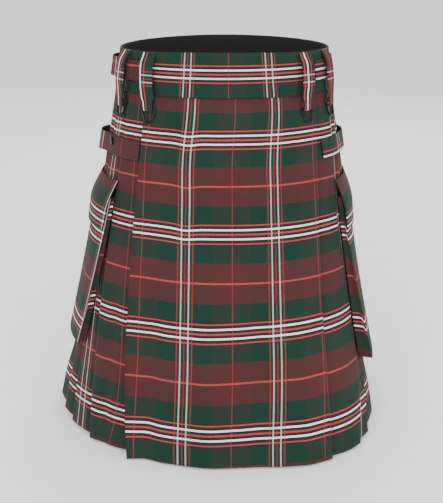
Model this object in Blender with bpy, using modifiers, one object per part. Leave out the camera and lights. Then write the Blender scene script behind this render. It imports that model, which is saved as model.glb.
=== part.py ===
"""A scottish kilt in tartan cloth with straps and cargo pockets, open and hollow as when worn.

Metres, +Z up. The front faces -Y, so the wearer's right side lies at -X. The origin is the middle
of the waist, at the height of the waistband's top edge over the hips. Every cloth piece is a wall
on rings round the body, and each ring comes from the table of sections below.
"""

import math
from typing import Callable, NamedTuple, Sequence

import bmesh
import bpy
from mathutils import Vector

MM = 0.001
GAP = 0.3 * MM

# Cloth and wire thicknesses
CLOTH = 1.4 * MM
BAND = 3.0 * MM
TAPE = 1.8 * MM
WIRE_RADIUS = 1.5 * MM

# Heights above the origin
SEAM = -59.0 * MM
SKIRT_TOP = SEAM - 1.6 * GAP
APRON_HEM = -605.0 * MM
UNDER_HEM = -604.0 * MM
PLEAT_HEM = -606.0 * MM
FRONT_RISE = 3.4 * MM
BACK_RISE = 3.0 * MM
HEM_RISE = 14.0 * MM

# Pleats on each side, counted from the first fold behind the front panel to the middle of the back
PLEATS = 10
PLEATS_IN_SIDE = 5
UNDERLAP = 0.4

# Turn round the body in degrees: 0 is the front middle, 90 the side at +X, 180 the back middle
ARC_STEP = 1.0
UNDER_APRON_END = 26.0


class Section(NamedTuple):
    """Outline at one height: reach to each side, to the front and back, middle line, squareness."""

    height: float
    left: float
    right: float
    front: float
    back: float
    middle: float
    square_left: float
    square_right: float


SECTIONS = (
    Section(5 * MM, 155 * MM, 155 * MM, 130 * MM, 130 * MM, -6 * MM, 2.05, 2.05),
    Section(-59 * MM, 164.5 * MM, 162 * MM, 138 * MM, 139 * MM, -5 * MM, 2.05, 2.10),
    Section(-188 * MM, 188 * MM, 183.5 * MM, 153 * MM, 160 * MM, 7 * MM, 2.05, 2.25),
    Section(-281 * MM, 205 * MM, 195.5 * MM, 163 * MM, 172 * MM, 19 * MM, 2.05, 2.40),
    Section(-382 * MM, 225.5 * MM, 209.5 * MM, 174 * MM, 184 * MM, 33 * MM, 2.05, 2.55),
    Section(-489 * MM, 250 * MM, 226.5 * MM, 185 * MM, 197 * MM, 49 * MM, 2.03, 2.80),
    Section(-606 * MM, 283 * MM, 247 * MM, 196 * MM, 210 * MM, 66 * MM, 2.00, 3.10),
)


class Edges(NamedTuple):
    """Turns of the lines that run down the front: both apron edges and the first fold per side."""

    height: float
    apron_left: float
    fold_left: float
    apron_right: float
    fold_right: float


EDGES = (
    Edges(5 * MM, -49.5, -61.3, 57.2, 69.6),
    Edges(-59 * MM, -49.2, -61.6, 56.3, 69.9),
    Edges(-106 * MM, -47.7, -61.6, 54.3, 68.9),
    Edges(-244 * MM, -44.5, -60.6, 46.4, 60.3),
    Edges(-384 * MM, -40.4, -59.0, 40.6, 59.9),
    Edges(-489 * MM, -37.0, -55.9, 37.3, 57.7),
    Edges(-606 * MM, -32.4, -51.0, 34.9, 48.3),
)


class Layers(NamedTuple):
    """How the cloth lies at one height: apron stand-off, its lifted edge, under apron, pleat depth."""

    height: float
    apron: float
    lift: float
    under: float
    pleat_depth: float


LAYERS = (
    Layers(-59 * MM, 1.2 * MM, 0.0 * MM, 2.4 * MM, 6.6 * MM),
    Layers(-127 * MM, 0.8 * MM, 1.0 * MM, 2.8 * MM, 6.8 * MM),
    Layers(-188 * MM, 0.4 * MM, 3.0 * MM, 3.6 * MM, 7.4 * MM),
    Layers(-382 * MM, 0.0 * MM, 8.0 * MM, 7.5 * MM, 9.0 * MM),
    Layers(-606 * MM, 0.0 * MM, 12.0 * MM, 11.0 * MM, 11.0 * MM),
)

SKIRT_ROWS = (SKIRT_TOP, -118 * MM, -184 * MM, -262 * MM, -343 * MM, -427 * MM, -518 * MM)


class FoldPoint(NamedTuple):
    """A point of a pleat's zigzag: share of the way to its fold, and share of the fold's depth."""

    along: float
    depth: float


PLEAT_FACE = (FoldPoint(-UNDERLAP, 1.0), FoldPoint(0.12, 0.70), FoldPoint(0.58, 0.26), FoldPoint(1.0, 0.0))
PLEAT_RETURN = (FoldPoint(1.03, 0.18), FoldPoint(1.0, 0.36), FoldPoint(1 - UNDERLAP, 0.62))
PLEAT_TURN = FoldPoint(1 - UNDERLAP - 0.035, 0.82)

# Where each fold strays from an even spacing, in pleats, from the first fold to the back middle
DRIFT_LEFT = (0.0, 0.12, -0.03, -0.10, -0.15, -0.05, 0.06, 0.08, -0.04, 0.05, 0.0)
DRIFT_RIGHT = (0.0, -0.30, -0.12, 0.05, 0.10, -0.04, 0.07, -0.06, 0.05, -0.04, 0.0)

# The two last folds stop this share of the pleats short of the back middle, and the cloth between
# them is one hidden layer, this many pleats wide
BACK_GAP = 0.065
UNDER_LAYER = 0.64

# Straps, belt loops, rings and pockets
STRAP_HEIGHT = 28.6 * MM
WAIST_STRAP_MIDDLE = -27 * MM
HIP_STRAP_MIDDLE = -141 * MM
LOOP_WIDTH = 21.6 * MM
LOOP_NECK = 15.6 * MM
RING_HEIGHT = -77.3 * MM
RING_WIDTH = 20.0 * MM
RING_DROP = 19.0 * MM
RING_CORNER = 2.0 * MM
RING_BOW_TOP = 4.5 * MM
SNAP_RADIUS = 6 * MM
SNAP_THICKNESS = 2.4 * MM
SNAP_EDGE = 0.8 * MM
SNAP_TURN = -70.3
SNAP_HEIGHT = -135.5 * MM
SNAP_SEAT = 2.7 * MM
POCKET_TOP = -218 * MM
FLAP_TOP = -191 * MM
FLAP_BOTTOM = -267 * MM
FLAP_CLEARANCE = 4.0 * MM
FLAP_OVERHANG = 0.012
FLAP_SHOULDER = 0.66
POCKET_BASE = CLOTH / 2 + 3 * GAP
BELLOWS_TUCK = 0.016

# Colours of the plain model
GREEN = (0.013, 0.048, 0.031, 1.0)
BURGUNDY = (0.085, 0.028, 0.026, 1.0)
DARK = (0.022, 0.030, 0.024, 1.0)
GUNMETAL = (0.030, 0.031, 0.034, 1.0)


def at_height(table: Sequence, height: float):
    """Row of a table at any height, on a smooth curve through the table's own rows."""
    if height >= table[0].height:
        return table[0]
    if height <= table[-1].height:
        return table[-1]
    lower = next(index for index, row in enumerate(table) if row.height <= height)
    upper = lower - 1
    before = table[max(upper - 1, 0)]
    after = table[min(lower + 1, len(table) - 1)]
    span = table[lower].height - table[upper].height
    share = (height - table[upper].height) / span
    values = []
    for ahead, start, end, beyond in zip(before, table[upper], table[lower], after):
        slope_start = (end - ahead) / (table[lower].height - before.height) * span
        slope_end = (beyond - start) / (after.height - table[upper].height) * span
        values.append(
            (2 * share**3 - 3 * share**2 + 1) * start
            + (share**3 - 2 * share**2 + share) * slope_start
            + (3 * share**2 - 2 * share**3) * end
            + (share**3 - share**2) * slope_end
        )
    return type(table[0])(*values)


def ring_point(turn: float, height: float, outward: float = 0.0) -> Vector:
    """Point of the body's ring at a turn and height, moved out square to the ring."""
    section = at_height(SECTIONS, height)
    sine = math.sin(math.radians(turn))
    cosine = math.cos(math.radians(turn))
    reach_x = section.right if sine >= 0 else section.left
    square = section.square_right if sine >= 0 else section.square_left
    reach_y = section.front + section.middle if cosine >= 0 else section.back - section.middle
    share_x = abs(sine) / reach_x
    share_y = abs(cosine) / reach_y
    radius = (share_x**square + share_y**square) ** (-1 / square)
    normal = Vector((math.copysign(share_x ** (square - 1) / reach_x, sine),
                     -math.copysign(share_y ** (square - 1) / reach_y, cosine), 0.0))
    middle = Vector((radius * sine, section.middle - radius * cosine, height))
    return middle + normal.normalized() * outward


class Ring:
    """Lengths along the ring at one height, to place things by a share of cloth instead of a turn."""

    def __init__(self, height: float) -> None:
        count = int(360 / ARC_STEP)
        self.turns = [-180.0 + ARC_STEP * index for index in range(count + 1)]
        points = [ring_point(turn, height) for turn in self.turns]
        self.lengths = [0.0]
        for start, end in zip(points, points[1:]):
            self.lengths.append(self.lengths[-1] + (end - start).length)

    def length_at(self, turn: float) -> float:
        """Length from the back middle, round by the left and the front, to a turn."""
        place = (turn + 180.0) / ARC_STEP
        index = min(max(int(place), 0), len(self.turns) - 2)
        return self.lengths[index] + (self.lengths[index + 1] - self.lengths[index]) * (place - index)

    def turn_at(self, length: float) -> float:
        """Turn at a length from the back middle; lengths past the back middle run on."""
        if length < 0:
            return -180.0 + length / (self.lengths[1] - self.lengths[0]) * ARC_STEP
        if length > self.lengths[-1]:
            over = length - self.lengths[-1]
            return 180.0 + over / (self.lengths[-1] - self.lengths[-2]) * ARC_STEP
        index = next(i for i in range(len(self.lengths) - 1) if self.lengths[i + 1] >= length)
        share = (length - self.lengths[index]) / (self.lengths[index + 1] - self.lengths[index])
        return self.turns[index] + share * ARC_STEP


RINGS: dict[float, Ring] = {}


def ring(height: float) -> Ring:
    """Ring lengths at a height, worked out once for each height."""
    if height not in RINGS:
        RINGS[height] = Ring(height)
    return RINGS[height]


def between(start: float, end: float, share: float) -> float:
    """Value at a share of the way from start to end."""
    return start + (end - start) * share


def make_material(name: str, colour: tuple, roughness: float, metallic: float = 0.0) -> bpy.types.Material:
    """Plain surface in one colour."""
    material = bpy.data.materials.new(name)
    material.use_nodes = True
    shader = material.node_tree.nodes["Principled BSDF"]
    shader.inputs["Base Color"].default_value = colour
    shader.inputs["Roughness"].default_value = roughness
    shader.inputs["Metallic"].default_value = metallic
    return material


def add_wall(name: str, place: Callable[[int, int], Vector], columns: int, rows: int,
             thickness: float, material: bpy.types.Material) -> bpy.types.Object:
    """Cloth wall: a grid of points from a function of column and row, given its thickness."""
    points = [place(column, row) for row in range(rows) for column in range(columns)]
    faces = [
        (row * columns + column, (row + 1) * columns + column,
         (row + 1) * columns + column + 1, row * columns + column + 1)
        for row in range(rows - 1)
        for column in range(columns - 1)
    ]
    mesh = bpy.data.meshes.new(name)
    mesh.from_pydata(points, [], faces)
    mesh.shade_smooth()
    mesh.materials.append(material)
    piece = bpy.data.objects.new(name, mesh)
    solid = piece.modifiers.new("Thickness", "SOLIDIFY")
    solid.thickness = thickness
    solid.offset = 0.0
    bpy.data.collections["Scottish kilt"].objects.link(piece)
    return piece


def side_rise(turn: float, height: float) -> float:
    """How much a pleat's cloth is lifted at a turn: the hem rises towards the sides of the body."""
    share = max((SKIRT_ROWS[-1] - height) / (SKIRT_ROWS[-1] - PLEAT_HEM), 0.0)
    return HEM_RISE * share * math.sin(math.radians(turn)) ** 6


def skirt_rows(hem: float) -> tuple:
    """Heights of a skirt piece's rows, from the waistband seam to its own hem."""
    return SKIRT_ROWS + (hem,)


def fold_length(side: int, fold: int, height: float) -> float:
    """Length on the ring of a pleat's fold; fold 0 is the front panel's and side is -1 or 1."""
    edges = at_height(EDGES, height)
    lengths = ring(height)
    if side < 0:
        first = lengths.length_at(edges.fold_left)
        share = (fold + DRIFT_LEFT[fold]) / (PLEATS + BACK_GAP)
        return first * (1 - share)
    first = lengths.length_at(edges.fold_right)
    if fold < 0:
        return lengths.length_at(edges.apron_right)
    share = (fold + DRIFT_RIGHT[fold]) / (PLEATS + BACK_GAP)
    return between(first, lengths.lengths[-1], share)


def pleat_pitch(side: int, height: float) -> float:
    """Even width of one pleat at a height, counted towards the back."""
    return fold_length(side, PLEATS, height) / PLEATS - fold_length(side, 0, height) / PLEATS


def pleat_point(side: int, fold: int, point: FoldPoint, height: float) -> Vector:
    """Point of the zigzag of the pleat that ends in one fold."""
    own = fold_length(side, fold, height)
    pitch = pleat_pitch(side, height)
    depth = at_height(LAYERS, height).pleat_depth * point.depth
    if point in PLEAT_FACE:
        last = fold_length(side, fold - 1, height)
        length = last + point.along * (pitch if point.along < 0 else own - last)
    else:
        length = own + (point.along - 1) * pitch
    turn = ring(height).turn_at(length)
    return ring_point(turn, height + side_rise(turn, height), -depth)


def add_pleats(name: str, side: int, folds: range, hem: float, material: bpy.types.Material,
               runs_across: bool = False) -> None:
    """A run of knife pleats, each a face, a fold and the cloth that returns under it."""
    zigzag = []
    for fold in folds:
        zigzag += [(fold, point) for point in PLEAT_FACE + PLEAT_RETURN]
        if fold != folds[-1] or runs_across:
            zigzag.append((fold, PLEAT_TURN))
    heights = skirt_rows(hem)
    under_columns = 3 if runs_across else 0

    def place(column: int, row: int) -> Vector:
        if column < len(zigzag):
            fold, point = zigzag[column]
            return pleat_point(side, fold, point, heights[row])
        share = (column - len(zigzag)) / (under_columns - 1)
        pitch = pleat_pitch(side, heights[row])
        start = fold_length(side, PLEATS, heights[row]) - UNDERLAP * pitch
        length = start + share * UNDER_LAYER * pitch
        depth = at_height(LAYERS, heights[row]).pleat_depth
        return ring_point(ring(heights[row]).turn_at(length), heights[row], -depth)

    add_wall(name, place, len(zigzag) + under_columns, len(heights), CLOTH, material)


def lifted_edge(share: float) -> float:
    """How far the apron's free edge curls out, as a share of its lift, across its width."""
    curl = 0.13
    return (1 - share / curl) ** 2 if share < curl else 0.0


def add_front_apron(material: bpy.types.Material) -> None:
    """The outer apron: free at the wearer's right, folded under at the left like a pleat."""
    shares = (0.0, 0.04, 0.085, 0.13, 0.2, 0.28, 0.36, 0.44, 0.52, 0.6, 0.68, 0.76, 0.84, 0.92, 1.0)
    heights = skirt_rows(APRON_HEM)

    def place(column: int, row: int) -> Vector:
        height = heights[row]
        edges = at_height(EDGES, height)
        layers = at_height(LAYERS, height)
        if column < len(shares):
            lengths = ring(height)
            length = between(lengths.length_at(edges.apron_left), lengths.length_at(edges.apron_right),
                             shares[column])
            outward = layers.apron + layers.lift * lifted_edge(shares[column])
            return ring_point(lengths.turn_at(length), height, outward)
        point = PLEAT_RETURN[column - len(shares)]
        length = fold_length(1, -1, height) + (point.along - 1) * pleat_pitch(1, height)
        outward = layers.apron * (1 - point.depth) - layers.pleat_depth * point.depth
        return ring_point(ring(height).turn_at(length), height, outward)

    add_wall("front_apron", place, len(shares) + len(PLEAT_RETURN), len(heights), CLOTH, material)


def add_under_apron(material: bpy.types.Material) -> None:
    """The under apron: shows beside the outer one up to its fold, and ends plainly behind it."""
    hidden = (0.0, 0.16, 0.33, 0.5, 0.67, 0.84, 1.0)
    shown = (0.3, 0.65, 1.0)
    heights = skirt_rows(UNDER_HEM)

    def place(column: int, row: int) -> Vector:
        height = heights[row]
        edges = at_height(EDGES, height)
        layers = at_height(LAYERS, height)
        if column < len(hidden):
            turn = between(UNDER_APRON_END, edges.apron_left, hidden[column])
            return ring_point(turn, height, -layers.under)
        if column < len(hidden) + len(shown):
            share = shown[column - len(hidden)]
            turn = between(edges.apron_left, edges.fold_left, share)
            return ring_point(turn, height, -layers.under * (1 - share))
        point = PLEAT_RETURN[column - len(hidden) - len(shown)]
        length = fold_length(-1, 0, height) + (point.along - 1) * pleat_pitch(-1, height)
        return ring_point(ring(height).turn_at(length), height, -layers.pleat_depth * point.depth)

    columns = len(hidden) + len(shown) + len(PLEAT_RETURN)
    add_wall("under_apron", place, columns, len(heights), CLOTH, material)


def rim_height(turn: float) -> float:
    """Height of the waistband's top edge, which rises a little at the front and the back."""
    cosine = math.cos(math.radians(turn))
    return (FRONT_RISE if cosine >= 0 else BACK_RISE) * cosine * cosine


class BandPiece(NamedTuple):
    """A stretch of the waistband: name, turns of its ends, stand-off and columns in its grid."""

    name: str
    start: float
    end: float
    outward: float
    columns: int


BAND_PIECES = (
    BandPiece("waistband_apron", -49.5, 57.2, BAND / 2 + 0.2 * MM, 23),
    BandPiece("waistband_under", -63.2, UNDER_APRON_END, -BAND / 2 - 0.1 * MM, 19),
    BandPiece("waistband_back", 57.3, 296.7, 0.0, 45),
)
BAND_FACE_FRONT = BAND + 0.2 * MM
BAND_FACE_BACK = BAND / 2
SKIRT_FACE_FRONT = LAYERS[0].apron + CLOTH / 2
SKIRT_FACE_BACK = CLOTH / 2


def add_waistband(band: BandPiece, material: bpy.types.Material) -> None:
    """A stretch of the waistband between two turns, on the ring or just off it."""
    rows = 4

    def place(column: int, row: int) -> Vector:
        turn = between(band.start, band.end, column / (band.columns - 1))
        height = between(rim_height(turn), SEAM, row / (rows - 1))
        return ring_point(turn, height, band.outward)

    add_wall(band.name, place, band.columns, rows, BAND, material)


class Loop(NamedTuple):
    """A belt loop: name, turns of head and foot, faces of band and skirt, stand-off, its ring."""

    name: str
    head: float
    foot: float
    band_face: float
    skirt_face: float
    stand: float
    has_ring: bool


LOOPS = (
    Loop("inner_left", -47.5, -44.1, BAND_FACE_FRONT, SKIRT_FACE_FRONT, 9.5 * MM, True),
    Loop("inner_right", 50.9, 48.3, BAND_FACE_FRONT, SKIRT_FACE_FRONT, 9.5 * MM, True),
    Loop("outer_left", -68.0, -65.6, BAND_FACE_BACK, SKIRT_FACE_BACK, 9.0 * MM, True),
    Loop("outer_right", 70.8, 68.4, BAND_FACE_BACK, SKIRT_FACE_BACK, 8.0 * MM, True),
    Loop("back_left", -132.0, -132.0, BAND_FACE_BACK, SKIRT_FACE_BACK, 8.5 * MM, False),
    Loop("back_middle", 180.0, 180.0, BAND_FACE_BACK, SKIRT_FACE_BACK, 8.5 * MM, False),
    Loop("back_right", 132.0, 132.0, BAND_FACE_BACK, SKIRT_FACE_BACK, 8.5 * MM, False),
)


class LoopPoint(NamedTuple):
    """A point down a belt loop: height, and share of the way from one stand-off to the next."""

    height: float
    share: float


LOOP_OVER_BAND = (LoopPoint(-5 * MM, 0.27), LoopPoint(-14 * MM, 0.82), LoopPoint(-28 * MM, 1.0),
                  LoopPoint(-45 * MM, 1.0))
LOOP_TO_RING = (LoopPoint(-57 * MM, 0.45), LoopPoint(-69 * MM, 0.80))
LOOP_TO_FOOT = (LoopPoint(-59 * MM, 0.47), LoopPoint(-64 * MM, 0.89), LoopPoint(-69 * MM, 1.0))
LOOP_INSET = 1 * MM
LOOP_TAIL = 8 * MM
NECK_TOP = -67 * MM


def ring_axis_standoff(loop: Loop) -> float:
    """How far off the ring of the body a loop holds the bar of its metal ring."""
    return loop.skirt_face + GAP + TAPE / 2 + TAPE / 2 + GAP + WIRE_RADIUS


def loop_path(loop: Loop) -> list[tuple[float, float]]:
    """Stand-off and height along a belt loop, down from the rim and round the bar if it has one."""
    seat = loop.band_face + GAP + TAPE / 2
    crest = seat + loop.stand
    path = [(seat, rim_height(loop.head) - LOOP_INSET)]
    path += [(between(seat, crest, point.share), point.height) for point in LOOP_OVER_BAND]
    if not loop.has_ring:
        foot = loop.skirt_face + GAP + TAPE / 2
        return path + [(between(crest, foot, point.share), point.height) for point in LOOP_TO_FOOT]
    axis = ring_axis_standoff(loop)
    turn_radius = WIRE_RADIUS + GAP + TAPE / 2
    path += [(between(crest, axis + turn_radius, point.share), point.height) for point in LOOP_TO_RING]
    for degrees in (0, 45, 90, 135, 180):
        angle = math.radians(degrees)
        path.append((axis + turn_radius * math.cos(angle), RING_HEIGHT - turn_radius * math.sin(angle)))
    path.append((axis - turn_radius, RING_HEIGHT + LOOP_TAIL))
    return path


def tangent_at(turn: float, height: float) -> Vector:
    """Level direction along the ring at a turn."""
    return (ring_point(turn + 0.5, height) - ring_point(turn - 0.5, height)).normalized()


def outward_at(turn: float, height: float) -> Vector:
    """Level direction straight out of the ring at a turn."""
    return (ring_point(turn, height, 10 * MM) - ring_point(turn, height)).normalized()


def add_belt_loop(loop: Loop, material: bpy.types.Material) -> None:
    """A strip of cloth over the waistband, gathered at its foot where it holds a metal ring."""
    path = loop_path(loop)
    across = (-0.5, 0.0, 0.5)
    side = tangent_at(loop.foot, RING_HEIGHT)

    def place(column: int, row: int) -> Vector:
        standoff, height = path[row]
        width = LOOP_NECK if loop.has_ring and height < NECK_TOP else LOOP_WIDTH
        turn = between(loop.head, loop.foot, height / RING_HEIGHT)
        return ring_point(turn, height, standoff) + side * (across[column] * width)

    add_wall(f"belt_loop_{loop.name}", place, len(across), len(path), TAPE, material)


def add_ring(loop: Loop, material: bpy.types.Material) -> None:
    """The metal ring in a loop's foot: a straight bar on top and a round bow below."""
    standoff = ring_axis_standoff(loop)
    side = tangent_at(loop.foot, RING_HEIGHT)
    top = ring_point(loop.foot, RING_HEIGHT, standoff)
    foot = ring_point(loop.foot, RING_HEIGHT - RING_DROP, standoff)
    down = (foot - top).normalized()
    half = RING_WIDTH / 2
    cut = 0.4 * RING_CORNER
    outline = [(-half + RING_CORNER, 0.0), (half - RING_CORNER, 0.0), (half - cut, cut), (half, RING_CORNER)]
    bow_steps = 10
    for step in range(bow_steps + 1):
        angle = math.pi * step / bow_steps
        drop = RING_BOW_TOP + (RING_DROP - RING_BOW_TOP) * math.sin(angle)
        outline.append((half * math.cos(angle), drop))
    outline += [(-half, RING_CORNER), (-half + cut, cut)]
    curve = bpy.data.curves.new(f"d_ring_{loop.name}", "CURVE")
    curve.dimensions = "3D"
    curve.bevel_depth = WIRE_RADIUS
    curve.bevel_resolution = 2
    spline = curve.splines.new("POLY")
    spline.points.add(len(outline) - 1)
    for point, (across, drop) in zip(spline.points, outline):
        place = side * across + down * drop
        point.co = (place.x, place.y, place.z, 1.0)
    spline.use_cyclic_u = True
    curve.materials.append(material)
    piece = bpy.data.objects.new(f"d_ring_{loop.name}", curve)
    piece.location = top
    bpy.data.collections["Scottish kilt"].objects.link(piece)


class StrapPoint(NamedTuple):
    """A place on a strap: its turn and how far its middle stands off the ring."""

    turn: float
    standoff: float


STRAPS = {
    "strap_waist_left": (WAIST_STRAP_MIDDLE, (
        StrapPoint(-49.9, 1.2 * MM), StrapPoint(-54, 1.2 * MM), StrapPoint(-58.2, 1.3 * MM),
        StrapPoint(-62.4, 3.15 * MM), StrapPoint(-66, 3.15 * MM), StrapPoint(-71, 3.15 * MM),
        StrapPoint(-77, 3.4 * MM),
        StrapPoint(-80, 6.5 * MM), StrapPoint(-82.5, 9.0 * MM), StrapPoint(-86, 10.0 * MM),
        StrapPoint(-90, 10.0 * MM), StrapPoint(-93, 9.0 * MM), StrapPoint(-95, 6.5 * MM),
        StrapPoint(-99, 3.4 * MM), StrapPoint(-104, 3.15 * MM), StrapPoint(-110, 3.15 * MM),
        StrapPoint(-116, 3.15 * MM))),
    "strap_waist_right": (WAIST_STRAP_MIDDLE, (
        StrapPoint(58.8, 3.15 * MM), StrapPoint(64.5, 3.15 * MM), StrapPoint(70.7, 3.15 * MM),
        StrapPoint(77, 3.15 * MM), StrapPoint(83, 3.15 * MM), StrapPoint(88.5, 4.0 * MM),
        StrapPoint(93, 5.2 * MM), StrapPoint(97, 4.0 * MM), StrapPoint(103, 3.15 * MM),
        StrapPoint(110, 3.15 * MM), StrapPoint(116, 3.15 * MM))),
    "strap_hip_left": (HIP_STRAP_MIDDLE, (
        StrapPoint(-48.1, 0.6 * MM), StrapPoint(-51.2, 0.8 * MM), StrapPoint(-56.3, 1.4 * MM),
        StrapPoint(-61.5, 2.1 * MM), StrapPoint(-67.8, 2.3 * MM), StrapPoint(-74.2, 3.0 * MM),
        StrapPoint(-78.5, 4.6 * MM), StrapPoint(-81.5, 9.5 * MM), StrapPoint(-84, 12.0 * MM),
        StrapPoint(-88, 13.0 * MM), StrapPoint(-92, 12.0 * MM), StrapPoint(-94, 9.5 * MM),
        StrapPoint(-97, 4.0 * MM), StrapPoint(-102, 2.3 * MM), StrapPoint(-109, 2.3 * MM),
        StrapPoint(-117, 2.3 * MM))),
    "strap_hip_right": (HIP_STRAP_MIDDLE, (
        StrapPoint(56.8, 0.6 * MM), StrapPoint(60.4, 1.1 * MM), StrapPoint(64.1, 2.1 * MM),
        StrapPoint(68.8, 2.4 * MM), StrapPoint(75.1, 3.0 * MM), StrapPoint(80.3, 4.6 * MM),
        StrapPoint(84.5, 6.8 * MM), StrapPoint(89, 7.6 * MM), StrapPoint(93, 6.8 * MM),
        StrapPoint(97, 4.2 * MM),
        StrapPoint(103, 2.3 * MM), StrapPoint(110, 2.3 * MM), StrapPoint(117, 2.3 * MM))),
}


def add_strap(name: str, material: bpy.types.Material) -> None:
    """A cloth strap round the side, raised where it turns back over its hidden fastening."""
    middle, points = STRAPS[name]
    rows = 3

    def place(column: int, row: int) -> Vector:
        point = points[column]
        height = middle + STRAP_HEIGHT * (0.5 - row / (rows - 1))
        return ring_point(point.turn, height, point.standoff)

    add_wall(name, place, len(points), rows, TAPE, material)


def add_snap(material: bpy.types.Material) -> None:
    """The round snap on the left hip strap, a low dome that lies on the strap."""
    outward = outward_at(SNAP_TURN, SNAP_HEIGHT)
    standoff = SNAP_SEAT + TAPE / 2 + 2 * GAP + SNAP_THICKNESS / 2
    middle = ring_point(SNAP_TURN, SNAP_HEIGHT, standoff)
    bpy.ops.mesh.primitive_cylinder_add(
        vertices=24, radius=SNAP_RADIUS, depth=SNAP_THICKNESS, location=middle)
    snap = bpy.context.object
    snap.name = "snap_hip_left"
    snap.rotation_euler = outward.to_track_quat("Z", "Y").to_euler()
    bevel = snap.modifiers.new("Rounded edge", "BEVEL")
    bevel.width = SNAP_EDGE
    bevel.segments = 2
    snap.data.materials.append(material)
    for collection in snap.users_collection:
        collection.objects.unlink(snap)
    bpy.data.collections["Scottish kilt"].objects.link(snap)


FACE_SHARES = (0.0, 0.06, 0.14, 0.24, 0.34, 0.44, 0.54, 0.64, 0.74, 0.84, 0.93, 1.0)


class PocketPlace(NamedTuple):
    """Where a pocket sits: turns of its front and back edges, foot, bellows' depths and its sag."""

    front_top: float
    front_bottom: float
    back_top: float
    back_bottom: float
    foot: float
    depth_top: float
    depth_bottom: float
    sag: float


POCKETS = {
    -1: PocketPlace(60.1, 65.4, 111.0, 107.5, -461 * MM, 8.5 * MM, 15 * MM, 0.05),
    1: PocketPlace(63.2, 59.7, 113.0, 103.0, -478 * MM, 7 * MM, 23 * MM, 0.35),
}


def face_depth(side: int, across: float) -> float:
    """Share of the bellows' depth at a share of the pocket's width: the middle sags in."""
    return 1.0 - POCKETS[side].sag * (1 - abs(2 * across - 1) ** 1.7)


def join_corners(mesh: bpy.types.Mesh) -> None:
    """Join the points of a pouch's grid that fall together at its lower corners."""
    cage = bmesh.new()
    cage.from_mesh(mesh)
    bmesh.ops.remove_doubles(cage, verts=cage.verts, dist=0.02 * MM)
    cage.to_mesh(mesh)
    cage.free()


def pocket_turn(side: int, across: float, height: float) -> float:
    """Turn of a line down the pocket at a height."""
    place = POCKETS[side]
    share = (height - FLAP_TOP) / (place.foot - FLAP_TOP)
    front = between(place.front_top, place.front_bottom, share)
    back = between(place.back_top, place.back_bottom, share)
    return side * between(front, back, across)


def pocket_depth(side: int, height: float) -> float:
    """Depth of the pocket's bellows at a height."""
    place = POCKETS[side]
    share = (height - POCKET_TOP) / (place.foot - POCKET_TOP)
    return between(place.depth_top, place.depth_bottom, share)


def add_pocket(side: int, name: str, material: bpy.types.Material) -> None:
    """The pouch: an outer panel with bellows at its sides and bottom, open to the skirt and on top."""
    steps = 5
    foot = POCKETS[side].foot
    heights = [between(POCKET_TOP, foot, step / steps) for step in range(steps + 1)]
    bottom_rows = (1.0, 0.5, 0.0)
    front_bellows = [(0.0, 0.0), (0.0, 0.5)]
    back_bellows = [(1.0, 0.5), (1.0, 0.0)]
    lines = front_bellows + [(share, face_depth(side, share)) for share in FACE_SHARES] + back_bellows

    def place(column: int, row: int) -> Vector:
        across, depth = lines[column]
        height = heights[min(row, len(heights) - 1)]
        rest = bottom_rows[max(row - len(heights) + 1, 0)]
        outward = between(POCKET_BASE, pocket_depth(side, height), min(depth, rest))
        share_down = (POCKET_TOP - height) / (POCKET_TOP - foot)
        tuck = BELLOWS_TUCK * (1 - share_down**2) if column in (1, len(lines) - 2) else 0.0
        across += math.copysign(tuck, 0.5 - across)
        return ring_point(pocket_turn(side, across, height), height, outward)

    rows = len(heights) + len(bottom_rows) - 1
    pocket = add_wall(name, place, len(lines), rows, CLOTH, material)
    join_corners(pocket.data)
    pocket.modifiers["Thickness"].use_even_offset = True


def add_flap(side: int, name: str, material: bpy.types.Material) -> None:
    """The pocket's flap: sewn on above the pouch and hanging clear over its mouth."""
    shares = (0.0, 0.15, 0.4, 0.66, 1.0)

    def place(column: int, row: int) -> Vector:
        line = FACE_SHARES[column]
        height = between(FLAP_TOP, FLAP_BOTTOM, shares[row])
        across = between(line, 0.5, -2 * FLAP_OVERHANG)
        rise = math.sin(math.radians(90) * min(shares[row] / FLAP_SHOULDER, 1.0))
        stand = POCKETS[side].depth_top * face_depth(side, line) + FLAP_CLEARANCE
        outward = POCKET_BASE + CLOTH / 2 + stand * rise
        return ring_point(pocket_turn(side, across, height), height, outward)

    add_wall(name, place, len(FACE_SHARES), len(shares), CLOTH, material)


def main() -> None:
    """Build every piece of the kilt."""
    for item in list(bpy.data.objects):
        bpy.data.objects.remove(item)
    collection = bpy.data.collections.new("Scottish kilt")
    bpy.context.scene.collection.children.link(collection)
    apron_cloth = make_material("Apron tartan", GREEN, 0.85)
    pleat_cloth = make_material("Pleat tartan", BURGUNDY, 0.85)
    band_cloth = make_material("Waistband tartan", DARK, 0.85)
    metal = make_material("Gunmetal", GUNMETAL, 0.35, 1.0)

    add_front_apron(apron_cloth)
    add_under_apron(pleat_cloth)
    add_pleats("pleats_left", -1, range(1, PLEATS_IN_SIDE + 1), PLEAT_HEM, pleat_cloth)
    add_pleats("pleats_back_left", -1, range(PLEATS_IN_SIDE + 1, PLEATS + 1), PLEAT_HEM, pleat_cloth, True)
    add_pleats("pleats_right", 1, range(0, PLEATS_IN_SIDE + 1), PLEAT_HEM, pleat_cloth)
    add_pleats("pleats_back_right", 1, range(PLEATS_IN_SIDE + 1, PLEATS + 1), PLEAT_HEM, pleat_cloth)

    for band in BAND_PIECES:
        add_waistband(band, band_cloth)
    for loop in LOOPS:
        add_belt_loop(loop, band_cloth)
        if loop.has_ring:
            add_ring(loop, metal)
    for name in STRAPS:
        add_strap(name, pleat_cloth)
    add_snap(metal)
    for side, word in ((-1, "left"), (1, "right")):
        add_pocket(side, f"pocket_{word}", pleat_cloth)
        add_flap(side, f"pocket_flap_{word}", apron_cloth)


main()
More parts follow.
